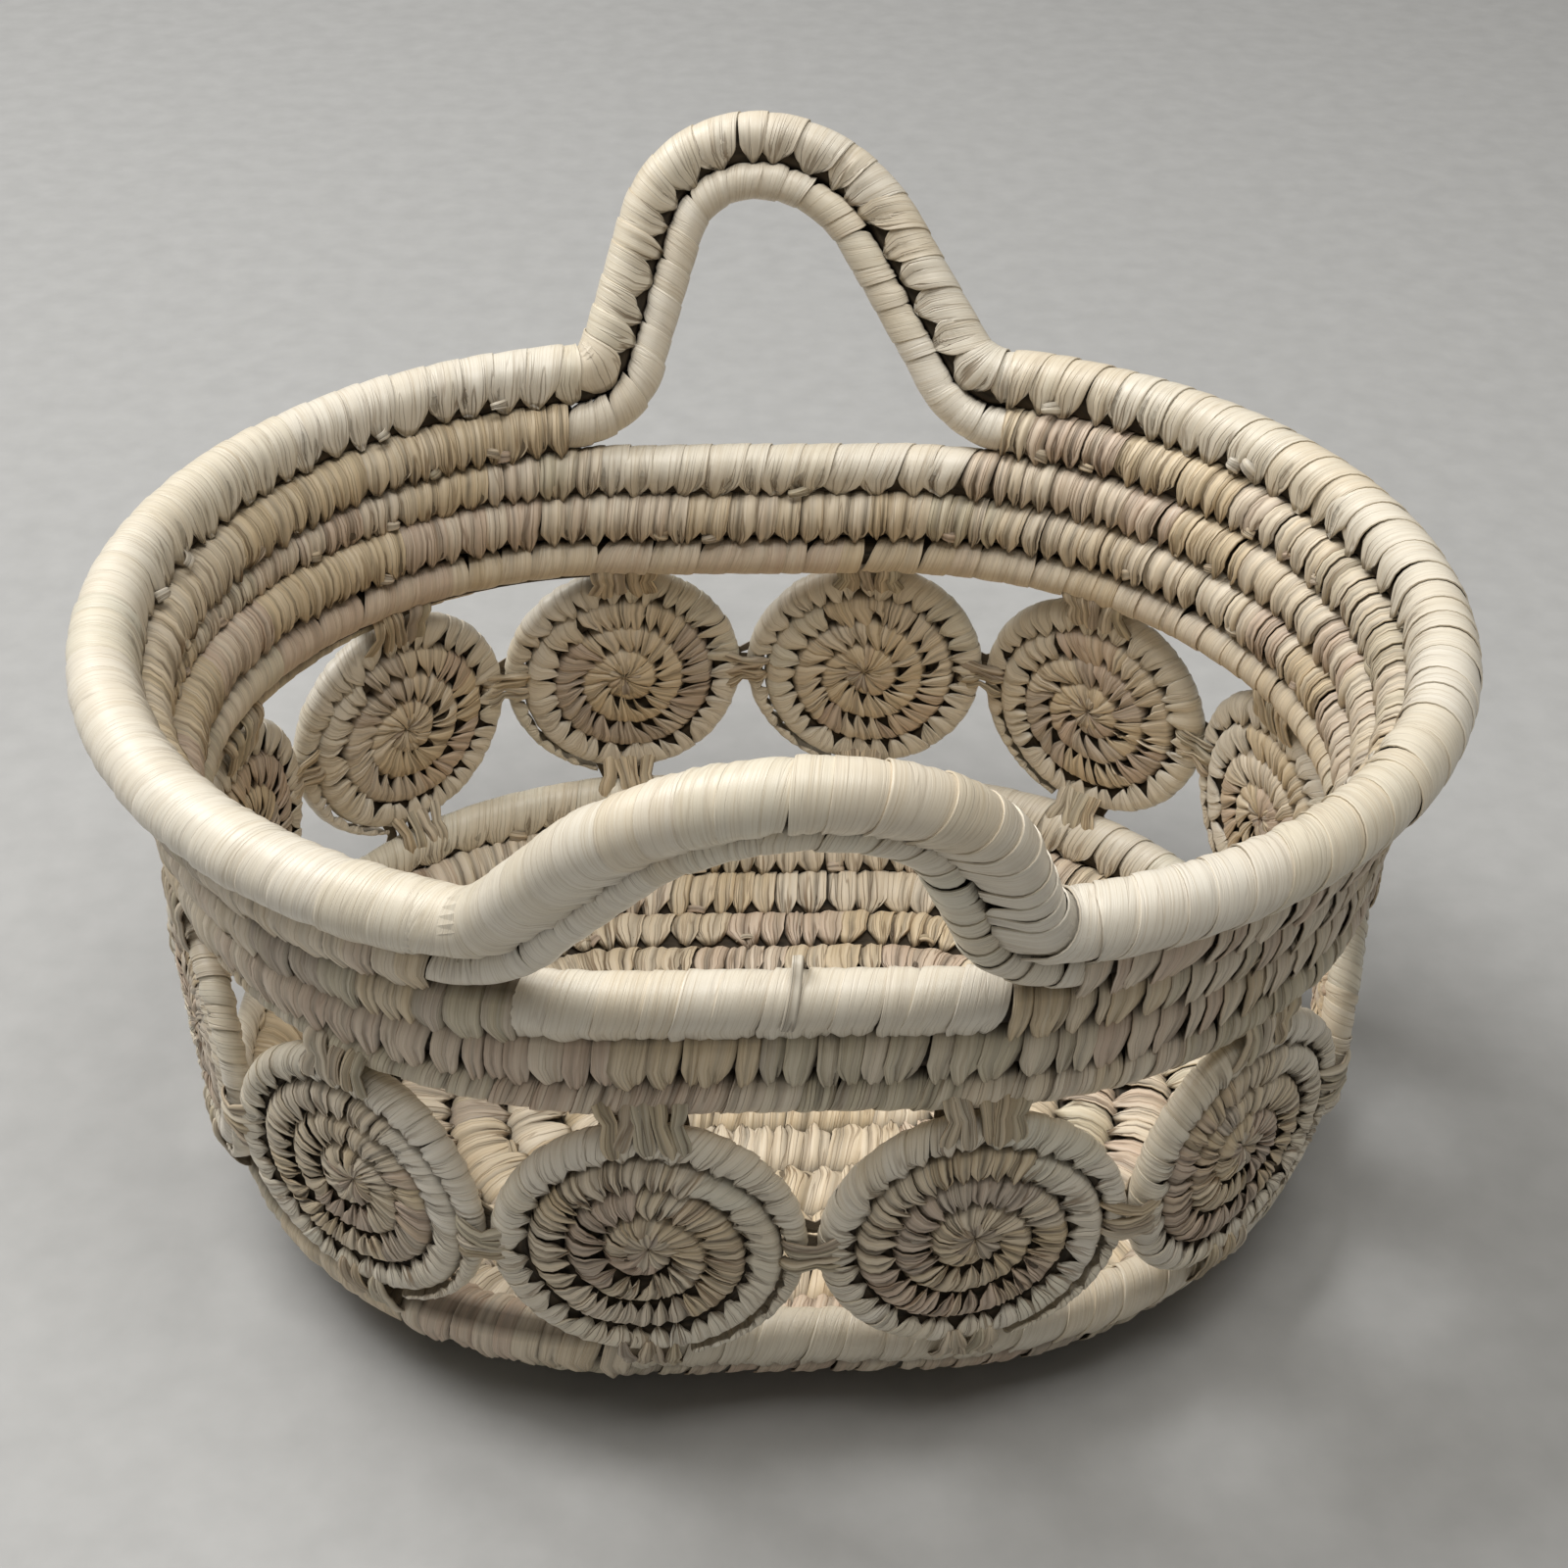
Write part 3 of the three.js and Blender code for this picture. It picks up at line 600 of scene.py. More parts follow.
def sew(work, coil, start, end, stitch, finish, rng):
    """Wraps a stretch of a coil in stitches."""
    count = max(1, round((end - start) / stitch.pitch))
    each = (count, 1, 1)
    shares = rng.uniform(1 - stitch.unevenness, 1 + stitch.unevenness, count)
    edges = start + (end - start) * np.concatenate([[0], np.cumsum(shares) / shares.sum()])
    middle = ((edges[1:] + edges[:-1]) / 2)[:, None, None]
    width = (np.diff(edges) * stitch.lap)[:, None, None]
    u, back = strip_columns(stitch.columns)
    u = u[None, None, :] * coil.hand

    leave, arrive = stitch.angles
    steps = stitch.tail_steps
    run_on = np.arange(steps, 0, -1) / max(steps, 1)
    arc = np.linspace(leave, arrive, stitch.arc_steps)
    phi = np.radians(np.concatenate([np.full(steps, leave), arc, np.full(steps, arrive)]))[None, :, None]
    tail = np.concatenate([run_on * stitch.tails[0], 0 * arc, -run_on[::-1] * stitch.tails[1]])[None, :, None]
    places = np.linspace(0, 1, phi.size)

    def profile(pairs):
        return knots(places, pairs)[None, :, None]

    half_width, half_depth = (half[..., None, None] for half in coil.half(middle[:, 0, 0]))
    tangent = unit(np.stack(np.broadcast_arrays(-half_width * np.sin(phi), half_depth * np.cos(phi)), -1))
    normal = unit(np.stack(np.broadcast_arrays(np.cos(phi) / half_width, np.sin(phi) / half_depth), -1))
    inner_trim = rng.uniform(0.88, 1.12, each) * (1 - stitch.scallop * u**2) + rng.normal(0, 0.1, each) * u
    outer_trim = rng.uniform(0.8, 1.2, each) + rng.normal(0, stitch.ragged, each) * u
    run = tail * half_width * np.where(tail > 0, inner_trim, outer_trim)
    across = half_width * np.cos(phi) + run * tangent[..., 0]
    face = half_depth * np.sin(phi) + run * tangent[..., 1]

    scale = np.clip(half_width / (BAND_COIL / 2), 0.2, 1.2) ** 0.5
    folds = rng.uniform(0.5, 1.4, each) * math.pi
    wander = rng.normal(0, 0.3, each) * places[None, :, None]
    pleat = 2 * np.abs(np.cos(folds * (u + wander) + rng.uniform(0, math.pi, each))) - 1
    pleat_depth = profile(stitch.pleats) * rng.uniform(0.6, 1.3, each)
    rise = profile(stitch.rise) * rng.uniform(0.6, 1.4, each)
    crown = profile(stitch.crown) * (1 - u**2) * rng.uniform(0.7, 1.3, each)
    sway = rng.normal(0, 0.12, each) * np.cos(rng.uniform(6, 14, each) * places[None, :, None])
    lift = scale * (rise + crown + stitch.tilt * u * coil.hand + pleat_depth * pleat + sway)
    lift = lift - LEAF_THICKNESS * back
    taper = profile(stitch.width)
    ragged = 1 + 0.07 * rng.standard_normal((count, 1, 2))
    half_strip = width / 2 * taper * np.where(u > 0, ragged[..., :1], ragged[..., 1:])
    drift = width * rng.normal(0, 0.18, each) * (1 - np.clip(taper, 0, 1))
    leaning = np.convolve(rng.normal(0, 0.13, count + 4), np.full(5, 0.2), "valid").reshape(each)
    helix = width * (phi - phi.mean()) * (0.5 / math.pi + 0.7 * leaning)
    skewed = stitch.slant * width * np.clip(2 * places - 1, 0, 1)[None, :, None]
    gone = np.clip(middle + helix + skewed + drift + u * half_strip, 0, coil.length)
    points = coil.place(gone, across + lift * normal[..., 0], face + lift * normal[..., 1])

    length = np.linalg.norm(np.diff(points[:, :, stitch.columns // 2], axis=1), axis=-1)
    along = np.concatenate([np.zeros((count, 1)), np.cumsum(length, 1)], 1)[..., None]
    leaf = np.stack(np.broadcast_arrays(u * width / 2, along, rng.uniform(0, 90, each)), -1)
    # Painted shade, mixed in by the finish: darker in the pleat valleys, where the strip sinks into the seam,
    # along the edge that the next strip laps over, on the strip's back, and on the row's edge where the next
    # row's tabs cover it.
    valley = stitch.valley_shade * np.clip(0.5 - 0.5 * pleat, 0, 1) ** 2 * np.clip(pleat_depth * 1.6, 0, 1)
    sunk = np.clip(-rise / 0.8, 0, 1)
    lapped = stitch.lip * (2 * np.clip(-u * coil.hand - 0.85, 0, 1) + 0.4 * back)
    covered = stitch.seam * np.clip(5 * np.cos(phi) - 3.5, 0, 1) * (np.sin(phi) < 0.3)
    crease = np.clip(valley + 0.8 * sunk + lapped + covered, 0, 1)
    dye = dye_runs(count, rng)[:, None, None]
    gather = np.clip(pleat_depth, 0, 1) * profile(stitch.fans)
    work.add(points, leaf, dye, crease, gather, finish, STRIP_BACK_SIDES)


def fill(work, coil, finish, start=0.0, end=None, press=BUNDLE_PRESS, sides=10, step=5.0):
    """The bundle of leaf inside a coil, pressed against the bundle of the row before it; its near-black
    colour is painted shade where it shows through the gaps between wraps.
    """
    end = coil.length if end is None else end
    gone = np.linspace(start, end, max(3, round((end - start) / step)))[:, None]
    half_width, half_depth = coil.half(gone[:, 0])
    angle = np.linspace(0, 2 * math.pi, sides, endpoint=False)[None, :] * coil.hand
    reach = BUNDLE_SHARE * half_width[:, None]
    if press:
        reach = np.where(np.cos(angle) > 0, reach, half_width[:, None] + press)
    across = reach * np.cos(angle)
    face = BUNDLE_SHARE * half_depth[:, None] * np.sin(angle)
    gone = np.broadcast_to(gone, across.shape)
    points = coil.place(gone, across, face)[None]
    leaf = np.stack([angle * 5 + 0 * gone, gone, 0 * gone], -1)[None]
    work.add(points, leaf, 0, 0, 0, finish)


def lay(work, centre, normal, width, crown, finish, rng):
    """Strips along their own centre lines, centre[strip, place]."""
    along = unit(np.gradient(centre, axis=1))
    side = unit(np.cross(along, normal))
    normal = np.cross(side, along)
    u, back = strip_columns(LAID_COLUMNS)
    count, places = centre.shape[:2]
    width = np.broadcast_to(width, (count, places))
    fold = rng.uniform(0, 2 * math.pi, (count, 1, 1))
    pleat = np.cos(math.pi * rng.uniform(0.9, 1.8, (count, 1, 1)) * u + fold)
    lift = crown * (1 - u**2) + 0.4 * crown * pleat - LEAF_THICKNESS * back
    points = centre[:, :, None] + side[:, :, None] * (u * width[..., None] / 2)[..., None]
    points = points + normal[:, :, None] * np.broadcast_to(lift, (count, places, len(u)))[..., None]
    length = np.linalg.norm(np.diff(centre, axis=1), axis=-1)
    gone = np.concatenate([np.zeros((count, 1)), np.cumsum(length, 1)], 1)[..., None]
    serial = rng.uniform(0, 90, (count, 1, 1))
    leaf = np.stack(np.broadcast_arrays(u * width.max() / 2, gone, serial), -1)
    # Painted shade in the pleat valleys and on the strip's back.
    crease = np.clip(0.35 - 0.35 * pleat + back, 0, 1)
    work.add(points, leaf, rng.random((count, 1, 1)), crease, 0.5, finish, STRIP_BACK_SIDES)


def trimmed_ends(work, coil, start, end, count, finish, rng):
    """Short ends of leaf that stick out of the seam below a row."""
    gone = rng.uniform(start, end, count)[:, None]
    half_width, half_depth = coil.half(gone)
    place = np.linspace(0, 1, 6)[None]
    way = rng.choice([-1, 1], (count, 1))
    reach = rng.uniform(4.5, 7.5, (count, 1))
    gone = np.clip(gone + way * reach * place, 0, coil.length)
    lean = rng.uniform(-0.25, 0.35, (count, 1))
    across = half_width * (-0.86 + lean * place)
    face = half_depth * (0.72 + 0.3 * np.sin(2.4 * place)) + 0.5
    centre = coil.place(gone, across, face)
    normal = coil.at(gone, coil.face)
    width = rng.uniform(3.2, 5.2, (count, 1)) * (1 - 0.3 * place)
    lay(work, centre, normal, width, 0.5, finish, rng)


def loose_loop(work, coil, gone, finish, rng):
    """One thin strip that stands off the edge of a row in a loop and runs down its outer side."""
    phi = np.radians(np.linspace(70, -100, 18))[None]
    half_width, half_depth = coil.half(np.full_like(phi, gone))
    stand = 1.2 + 4.5 * np.exp(-(((phi - 0.35) / 0.32) ** 2))
    centre = coil.place(
        gone + 1.5 * phi, (half_width + stand) * np.cos(phi), (half_depth + stand) * np.sin(phi)
    )
    across = coil.at(gone + 0 * phi, coil.across)
    face = coil.at(gone + 0 * phi, coil.face)
    normal = across * np.cos(phi)[..., None] + face * np.sin(phi)[..., None]
    width = 2.6 + 1.2 * np.linspace(0, 1, phi.size)[None]
    lay(work, centre, normal, width, 0.3, finish, rng)


# Finishes


class Value:
    """A socket of a finish; arithmetic on it adds Math nodes."""

    def __init__(self, finish, socket):
        self.finish = finish
        self.socket = socket

    def math(self, operation, first, second):
        return self.finish.node("ShaderNodeMath", {"operation": operation}, {0: first, 1: second})

    def __add__(self, other):
        return self.math("ADD", self, other)

    def __radd__(self, other):
        return self.math("ADD", other, self)

    def __sub__(self, other):
        return self.math("SUBTRACT", self, other)

    def __rsub__(self, other):
        return self.math("SUBTRACT", other, self)

    def __mul__(self, other):
        return self.math("MULTIPLY", self, other)

    def __rmul__(self, other):
        return self.math("MULTIPLY", other, self)


class Finish:
    """A procedural material of nodes."""

    ATTRIBUTE_VECTOR = 1
    ATTRIBUTE_FACTOR = 2
    MIXED_COLOUR = 2
    OBJECT_PLACE = 3

    def __init__(self, name):
        self.material = bpy.data.materials.new(name)
        self.material.use_nodes = True
        self.tree = self.material.node_tree
        self.tree.nodes.clear()

    def node(self, kind, settings, sockets, output=0):
        made = self.tree.nodes.new(kind)
        for name, setting in settings.items():
            if name == "stops":
                self.set_stops(made.color_ramp, setting)
            else:
                setattr(made, name, setting)
        for key, given in sockets.items():
            if isinstance(given, Value):
                self.tree.links.new(given.socket, made.inputs[key])
            else:
                made.inputs[key].default_value = given
        return Value(self, made.outputs[output]) if made.outputs else None

    def set_stops(self, ramp, stops):
        while len(ramp.elements) < len(stops):
            ramp.elements.new(0.5)
        for element, (place, colour) in zip(ramp.elements, stops):
            element.position = place
            element.color = (*colour, 1)

    def mark(self, name):
        return self.node("ShaderNodeAttribute", {"attribute_name": name}, {}, self.ATTRIBUTE_FACTOR)

    def leaf_place(self, factors):
        """The place on a leaf strip, stretched across it, along it and from strip to strip."""
        place = self.node("ShaderNodeAttribute", {"attribute_name": "leaf"}, {}, self.ATTRIBUTE_VECTOR)
        return self.node("ShaderNodeVectorMath", {"operation": "MULTIPLY"}, {0: place, 1: factors})

    def object_place(self):
        return self.node("ShaderNodeTexCoord", {}, {}, self.OBJECT_PLACE)

    def noise(self, vector, scale, detail=2.0, roughness=0.5):
        sockets = {"Vector": vector, "Scale": scale, "Detail": detail, "Roughness": roughness}
        return self.node("ShaderNodeTexNoise", {}, sockets)

    def ramped(self, value, low, high, top):
        """Runs from 0 to top while the value runs from low to high."""
        sockets = {"Value": value, "From Min": low, "From Max": high, "To Max": top}
        return self.node("ShaderNodeMapRange", {}, sockets)

    def dyed(self, value, stops):
        return self.node("ShaderNodeValToRGB", {"stops": stops}, {0: value})

    def mix(self, factor, first, colour, blend="MIX"):
        settings = {"data_type": "RGBA", "blend_type": blend, "clamp_factor": True}
        return self.node("ShaderNodeMix", settings, {0: factor, 6: first, 7: (*colour, 1)}, self.MIXED_COLOUR)

    def bump(self, strength, distance, height):
        return self.node("ShaderNodeBump", {}, {"Strength": strength, "Distance": distance, "Height": height})

    def surface(self, sockets):
        shader = self.node("ShaderNodeBsdfPrincipled", {}, sockets)
        self.node("ShaderNodeOutputMaterial", {}, {"Surface": shader})
        return self.material


IVORY = (0.80, 0.705, 0.56)
CREAM = (0.83, 0.775, 0.67)
STRAW = (0.72, 0.585, 0.39)
ROSE_TAN = (0.66, 0.52, 0.405)
SAGE = (0.64, 0.575, 0.425)
GREY_LEAF = (0.56, 0.475, 0.385)
WARM_CREAM = (0.78, 0.71, 0.575)
TAN_CREAM = (0.78, 0.69, 0.54)
GREEN_CREAM = (0.77, 0.73, 0.61)
STREAK = (0.62, 0.53, 0.40)
PALE_FIBRE = (0.84, 0.775, 0.645)
AGED = (0.80, 0.72, 0.62)
# The next two colours are painted shade: one for the fold lines, one for the valleys, seams, laps and strip
# backs.
FOLD_SHADE = (0.30, 0.22, 0.15)
PAINTED_SHADE_COLOUR = (0.06, 0.042, 0.024)

ROW_STOPS = (
    (0.0, IVORY), (0.3, STRAW), (0.5, IVORY), (0.66, ROSE_TAN), (0.8, IVORY), (0.92, SAGE), (1.0, GREY_LEAF)
)
SMOOTH_STOPS = ((0.0, CREAM), (0.4, WARM_CREAM), (0.6, CREAM), (0.8, TAN_CREAM), (1.0, GREEN_CREAM))
DISC_STOPS = ((0.0, STRAW), (0.3, IVORY), (0.5, GREY_LEAF), (0.7, ROSE_TAN), (0.85, STRAW), (1.0, IVORY))
LASH_STOPS = ((0.0, STRAW), (0.35, IVORY), (0.6, SAGE), (0.8, STRAW), (1.0, GREY_LEAF))
# Near-black bundle colours: painted shade in the gaps between wraps.
BUNDLE_SHADE_STOPS = ((0.3, (0.02, 0.015, 0.009)), (0.7, (0.085, 0.062, 0.038)))
FLOOR_STOPS = ((0.3, (0.41, 0.41, 0.405)), (0.7, (0.45, 0.45, 0.445)))


def leaf_finish(name, stops, sheen_roughness, streaks, painted_shade_share):
    """Dry leaf: dyed wrap by wrap, streaked along its fibres and folded in its bump, with painted shade along
    the fold lines, most where it is gathered, and painted shade in its valleys, seams, laps and strip backs.
    """
    finish = Finish(name)
    dye, crease, gather = (finish.mark(name) for name in ("dye", "crease", "gather"))
    fine = finish.noise(finish.leaf_place((2.2, 0.03, 1.0)), 1.0, 2.0, 0.6)
    broad = finish.noise(finish.leaf_place((0.33, 0.02, 1.0)), 1.0, 1.0)
    fold = finish.noise(finish.leaf_place((0.42, 0.022, 1.7)), 1.0, 1.0)
    off_fold = finish.node("ShaderNodeMath", {"operation": "ABSOLUTE"}, {0: fold - 0.5})
    cloud = finish.noise(finish.object_place(), 38.0, 3.0)
    colour = finish.dyed(dye + 0.16 * (broad - 0.5), stops)
    worn = finish.mix(finish.ramped(fine, 0.5, 0.75, streaks), colour, STREAK, "MULTIPLY")
    lit = finish.mix(finish.ramped(fine, 0.46, 0.28, 0.4), worn, PALE_FIBRE)
    aged = finish.mix(finish.ramped(cloud, 0.4, 0.75, 0.3), lit, AGED, "MULTIPLY")
    # Painted shade along the fold lines, strongest where the strip is gathered; the same lines are valleys in
    # the bump.
    line = finish.ramped(off_fold, 0.036, 0.006, 1.0) * (0.12 + gather)
    folded = finish.mix(0.8 * line, aged, FOLD_SHADE, "MULTIPLY")
    # Painted shade: the shade mark blends the leaf towards a near-black brown.
    shaded = finish.mix(crease * painted_shade_share, folded, PAINTED_SHADE_COLOUR)
    rough = sheen_roughness + 0.3 * (fine - 0.5) + 0.15 * crease
    height = 0.15 * fine + 0.2 * broad - 0.5 * line
    bump = finish.bump(0.7, 0.0012, height)
    return finish.surface({"Base Color": shaded, "Roughness": rough, "Normal": bump})


def bundle_finish(name):
    """The inside of a coil, seen only through the gaps between wraps; nearly black, as painted shade in those
    gaps.
    """
    finish = Finish(name)
    strand = finish.noise(finish.leaf_place((0.6, 0.08, 1.0)), 1.0, 2.0)
    colour = finish.dyed(strand, BUNDLE_SHADE_STOPS)
    bump = finish.bump(0.6, 0.0006, strand)
    return finish.surface({"Base Color": colour, "Roughness": 0.85, "Normal": bump})


# The last number of each finish sets how strongly its painted shade darkens it.
FINISHES = {
    "row_leaf": leaf_finish("row_leaf", ROW_STOPS, 0.52, 0.55, 0.85),
    "smooth_leaf": leaf_finish("smooth_leaf", SMOOTH_STOPS, 0.4, 0.5, 0.75),
    "disc_leaf": leaf_finish("disc_leaf", DISC_STOPS, 0.5, 0.55, 0.95),
    "lash_leaf": leaf_finish("lash_leaf", LASH_STOPS, 0.54, 0.6, 0.8),
}
BUNDLE = bundle_finish("painted_shade_bundle")
LEAF, FILLING, SMOOTH = 0, 1, 2


def make_piece(work, name, slot, *nodes):
    piece = bpy.data.objects.new(name, work.mesh(name))
    for material in (FINISHES[slot], BUNDLE, FINISHES["smooth_leaf"]):
        piece.data.materials.append(material)
    bpy.context.scene.collection.objects.link(piece)
    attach(piece, "root")
    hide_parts(*nodes)


# The bowl


def rest_on_floor(work):
    """Presses the underside of a piece flat where it stands."""
    softness = 0.8
    for points, *_ in work.parts:
        height = points[..., 2]
        points[..., 2] = (height + np.sqrt(height**2 + softness**2)) / 2


def make_bowl():
    rng = np.random.default_rng(BOWL_SEED)
    hidden_start = 100
    smooth_pitch = 12.5
    floor, _ = climbing_coil(FLOOR_ROWS, 0, BASE_PITCH, BASE_COIL, BASE_THICKNESS, bowl_profile, tip=True)
    work = Leafwork()
    sew(work, floor, 0, floor.length, BOWL_STITCH, LEAF, rng)
    trimmed_ends(work, floor, hidden_start, floor.length, 18, LEAF, rng)
    fill(work, floor, FILLING)
    rest_on_floor(work)
    make_piece(work, "floor_weave", "row_leaf", "floor_coil")

    wall, starts = climbing_coil(
        WALL_ROWS, FLOOR_ROWS, BASE_PITCH, BASE_COIL, BASE_THICKNESS, bowl_profile, tail=True
    )
    work = Leafwork()
    sew(work, wall, 0, starts[-1], BOWL_STITCH, LEAF, rng)
    sew(work, wall, starts[-1], wall.length, replace(RIM_WRAP, pitch=smooth_pitch), SMOOTH, rng)
    trimmed_ends(work, wall, 0, wall.length, 30, LEAF, rng)
    fill(work, wall, FILLING)
    rest_on_floor(work)
    make_piece(work, "wall_weave", "row_leaf", "wall_coil")


# The band, the rim and the handles


def make_band():
    rng = np.random.default_rng(BAND_SEED)
    half_opening = 66
    smooth_lead = 28
    sewn_share = 0.6

    def profile(row):
        return band_profile(row * BAND_PITCH)

    def bend_length(row):
        return math.pi * float(profile(row)[0])

    band, starts = climbing_coil(
        BAND_ROWS, 0, BAND_PITCH, BAND_COIL, BAND_COIL, profile, tip=True, tail=True
    )
    left_bend = starts[0] + 4 * STRIP_HALF_LENGTH + bend_length(0)
    sewn_down = left_bend + sewn_share * bend_length(0)
    top = starts[-1]
    smooth_start = top - smooth_lead
    front_end = top + STRIP_HALF_LENGTH - HANDLE_SHIFT + half_opening
    rear_middle = top + 3 * STRIP_HALF_LENGTH + bend_length(BAND_ROWS - 1) - HANDLE_SHIFT
    work = Leafwork()
    sew(work, band, 0, sewn_down, FOOT_WRAP, LEAF, rng)
    sew(work, band, sewn_down, smooth_start, KNUCKLE, LEAF, rng)
    sew(work, band, smooth_start, front_end, RIM_WRAP, SMOOTH, rng)
    sew(work, band, front_end, rear_middle - half_opening, KNUCKLE, LEAF, rng)
    sew(work, band, rear_middle - half_opening, rear_middle + half_opening, RIM_WRAP, SMOOTH, rng)
    sew(work, band, rear_middle + half_opening, band.length, KNUCKLE, LEAF, rng)
    trimmed_ends(work, band, starts[1], band.length, 30, LEAF, rng)
    loose_loop(work, band, top + STRIP_HALF_LENGTH, SMOOTH, rng)
    fill(work, band, FILLING, 0, left_bend, press=0)
    fill(work, band, FILLING, left_bend)
    make_piece(work, "band_weave", "row_leaf", "band_coil")


def make_rim_and_handles():
    rng = np.random.default_rng(RIM_SEED)
    clear = 10
    lines, reaches = {}, {}
    for side, apex_radius in (("front", FRONT_APEX_RADIUS), ("rear", REAR_APEX_RADIUS)):
        lines[side], reaches[side] = handle_line(apex_radius)
    middles = {"front": -HANDLE_SHIFT, "rear": RIM_LENGTH / 2 - HANDLE_SHIFT}
    rows = (
        ("second", SECOND_ROW, BAND_COIL, KNUCKLE, 9, "row_leaf"),
        ("rim", RIM_ROW, RIM_COIL, RIM_WRAP, 6, "smooth_leaf"),
    )
    for side, leaves, meets, lap in (("right", "front", "rear", 0), ("left", "rear", "front", RIM_LENGTH)):
        start = middles[leaves] + reaches[leaves]
        end = middles[meets] - reaches[meets] + lap
        for row, distance, width, stitch, ends, slot in rows:
            coil = end_coil(distance, width, start, end)
            work = Leafwork()
            sew(work, coil, 0, coil.length, stitch, LEAF, rng)
            trimmed_ends(work, coil, clear, coil.length - clear, ends, LEAF, rng)
            fill(work, coil, FILLING, BUNDLE_END, coil.length - BUNDLE_END)
            make_piece(work, f"{side}_{row}_weave", slot, f"{side}_{row}_coil")
    for side, line in lines.items():
        for strand, stitch in (("upper", STRAND_WRAP), ("lower", FULL_WRAP)):
            coil = strand_coil(line, middles[side], strand)
            work = Leafwork()
            sew(work, coil, 0, coil.length, stitch, LEAF, rng)
            fill(work, coil, FILLING, press=BUNDLE_PRESS if strand == "upper" else 0)
            make_piece(work, f"{side}_{strand}_weave", "smooth_leaf", f"{side}_handle_{strand}")


# The discs and their lashings


def star(work, rng):
    """The start of a disc: strips that meet in its middle, on both faces, over a hub whose near-black colour
    is painted shade.
    """
    strips = int(rng.integers(9, 13))
    place = np.linspace(0, 1, 6)[None]
    for face in (1, -1):
        turn = np.linspace(0, 2 * math.pi, strips, endpoint=False) + rng.uniform(-0.15, 0.15, strips)
        ray = way_out(turn)[:, None]
        reach = (0.5 + rng.uniform(6, 8.5, (strips, 1)) * place)[..., None]
        height = (2.4 + 2.4 * np.sin(0.25 + 2.2 * place))[..., None] + 0 * reach
        centre = ray * reach + face * UP * height
        normal = np.broadcast_to(face * UP, centre.shape) + 0.0
        width = knots(place, ((0, 0.6), (0.35, 2.6), (0.7, 3.9), (1, 2.8)))
        lay(work, centre, normal, width, 0.6, LEAF, rng)
    angle = np.linspace(0, 2 * math.pi, 12, endpoint=False)
    hub = ((5, -2.8), (8, -2), (8, 2), (5, 2.8))
    points = np.array([[way_out(angle) * radius + UP * height for radius, height in hub]])
    # The hub takes the bundle's near-black colour: painted shade under the strips.
    work.add(points, points.copy(), 0, 0, 0, FILLING)


def make_discs():
    least_filled = 0.35 * DISC_COIL
    for index in range(DISC_COUNT):
        rng = np.random.default_rng(DISC_SEED + index)
        coil, second_turn = disc_coil()
        work = Leafwork()
        sew(work, coil, 0, second_turn, DISC_RIM, SMOOTH, rng)
        sew(work, coil, second_turn, coil.length, DISC_STITCH, LEAF, rng)
        filled = coil.gone[np.argmax(coil.half_width > least_filled)]
        fill(work, coil, FILLING, filled, sides=8, step=4.0)
        star(work, rng)
        along = ALONG[index]
        axes = np.stack([along, UP, np.cross(along, UP)])
        seat = MIDDLES[index] + UP * DISC_HEIGHT
        for part in work.parts:
            part[0][:] = part[0] @ axes + seat
        make_piece(work, f"disc_weave_{index + 1:02d}", "disc_leaf", f"disc_{index + 1:02d}")


def tie(work, at, joining, out, ends, halves, waist, drawn, offsets, width, bend, rng):
    """Strips sewn round two coils. Along joining they come out of the one coil at the first end and go into
    the other at the second, and they are drawn in by a share of their size at the waist between the two."""
    count = len(offsets)
    half_turn = math.pi - 0.2
    turn = np.linspace(-half_turn, half_turn, 26)[None]
    power = 0.72
    pinch_length = 3.2
    cos = np.sign(np.cos(turn)) * np.abs(np.cos(turn)) ** power
    sin = np.sign(np.sin(turn)) * np.abs(np.sin(turn)) ** power
    span = ends[1] - ends[0]
    share = (1 + cos) / 2
    reach = ends[0] + span * share + rng.uniform(-1.2, 1.2, (count, 1)) * cos
    pinch = np.exp(-(((reach - waist) / pinch_length) ** 2))
    half = (halves[0] + (halves[1] - halves[0]) * share) * (1 - drawn * pinch)
    depth = half * sin - np.abs(reach) * math.tan(bend)
    axis = np.cross(joining, out)
    slant = rng.uniform(-2.4, 2.4, (count, 1))
    aside = offsets[:, None] * (1 - drawn * pinch) + slant * (2 * share - 1) * np.sign(sin)
    loose = rng.uniform(0, 0.9, (count, 1)) * pinch * np.sign(sin)
    centre = at + joining * reach[..., None] + out * (depth + loose)[..., None] + axis * aside[..., None]
    normal = unit(joining * (cos * half)[..., None] + out * (sin * span / 2)[..., None])
    taper = knots(np.linspace(0, 1, turn.size), ((0, 0.4), (0.14, 1), (0.86, 1), (1, 0.4)))
    widths = width * rng.uniform(0.8, 1.2, (count, 1)) * (1 - 1.3 * drawn * pinch) * taper
    lay(work, centre, np.broadcast_to(normal, centre.shape), widths, 0.9, LEAF, rng)


def row_by(seat, profile):
    """The point of a row that is nearest to a disc's seat, the way to its next row and to its inner side."""
    bend_x, angle = station_of(seat)
    offset, height, lean = (float(part) for part in profile)
    out = way_out(np.array(angle))
    centre = out * offset + UP * height
    centre[0] += bend_x
    return centre, out * math.cos(lean) + UP * math.sin(lean), UP * math.cos(lean) - out * math.sin(lean)


def tie_disc_to_disc(work, index, rng):
    before, after = ALONG[index - 1], ALONG[index]
    along = unit(before + after)
    bend = math.acos(np.clip(np.dot(before, after), -1, 1)) / 2
    reach = LASH_GAP / 2 + 0.85 * DISC_COIL
    half = DISC_COIL / 2 + LASH_LIFT
    offsets = np.array([-5.0, -1.8, 1.6, 4.8]) + rng.uniform(-0.8, 0.8, 4)
    at = CORNERS[index] + UP * DISC_HEIGHT
    tie(work, at, along, np.cross(along, UP), (-reach, reach), (half, half), 0, 0.3, offsets, 3.9, bend, rng)


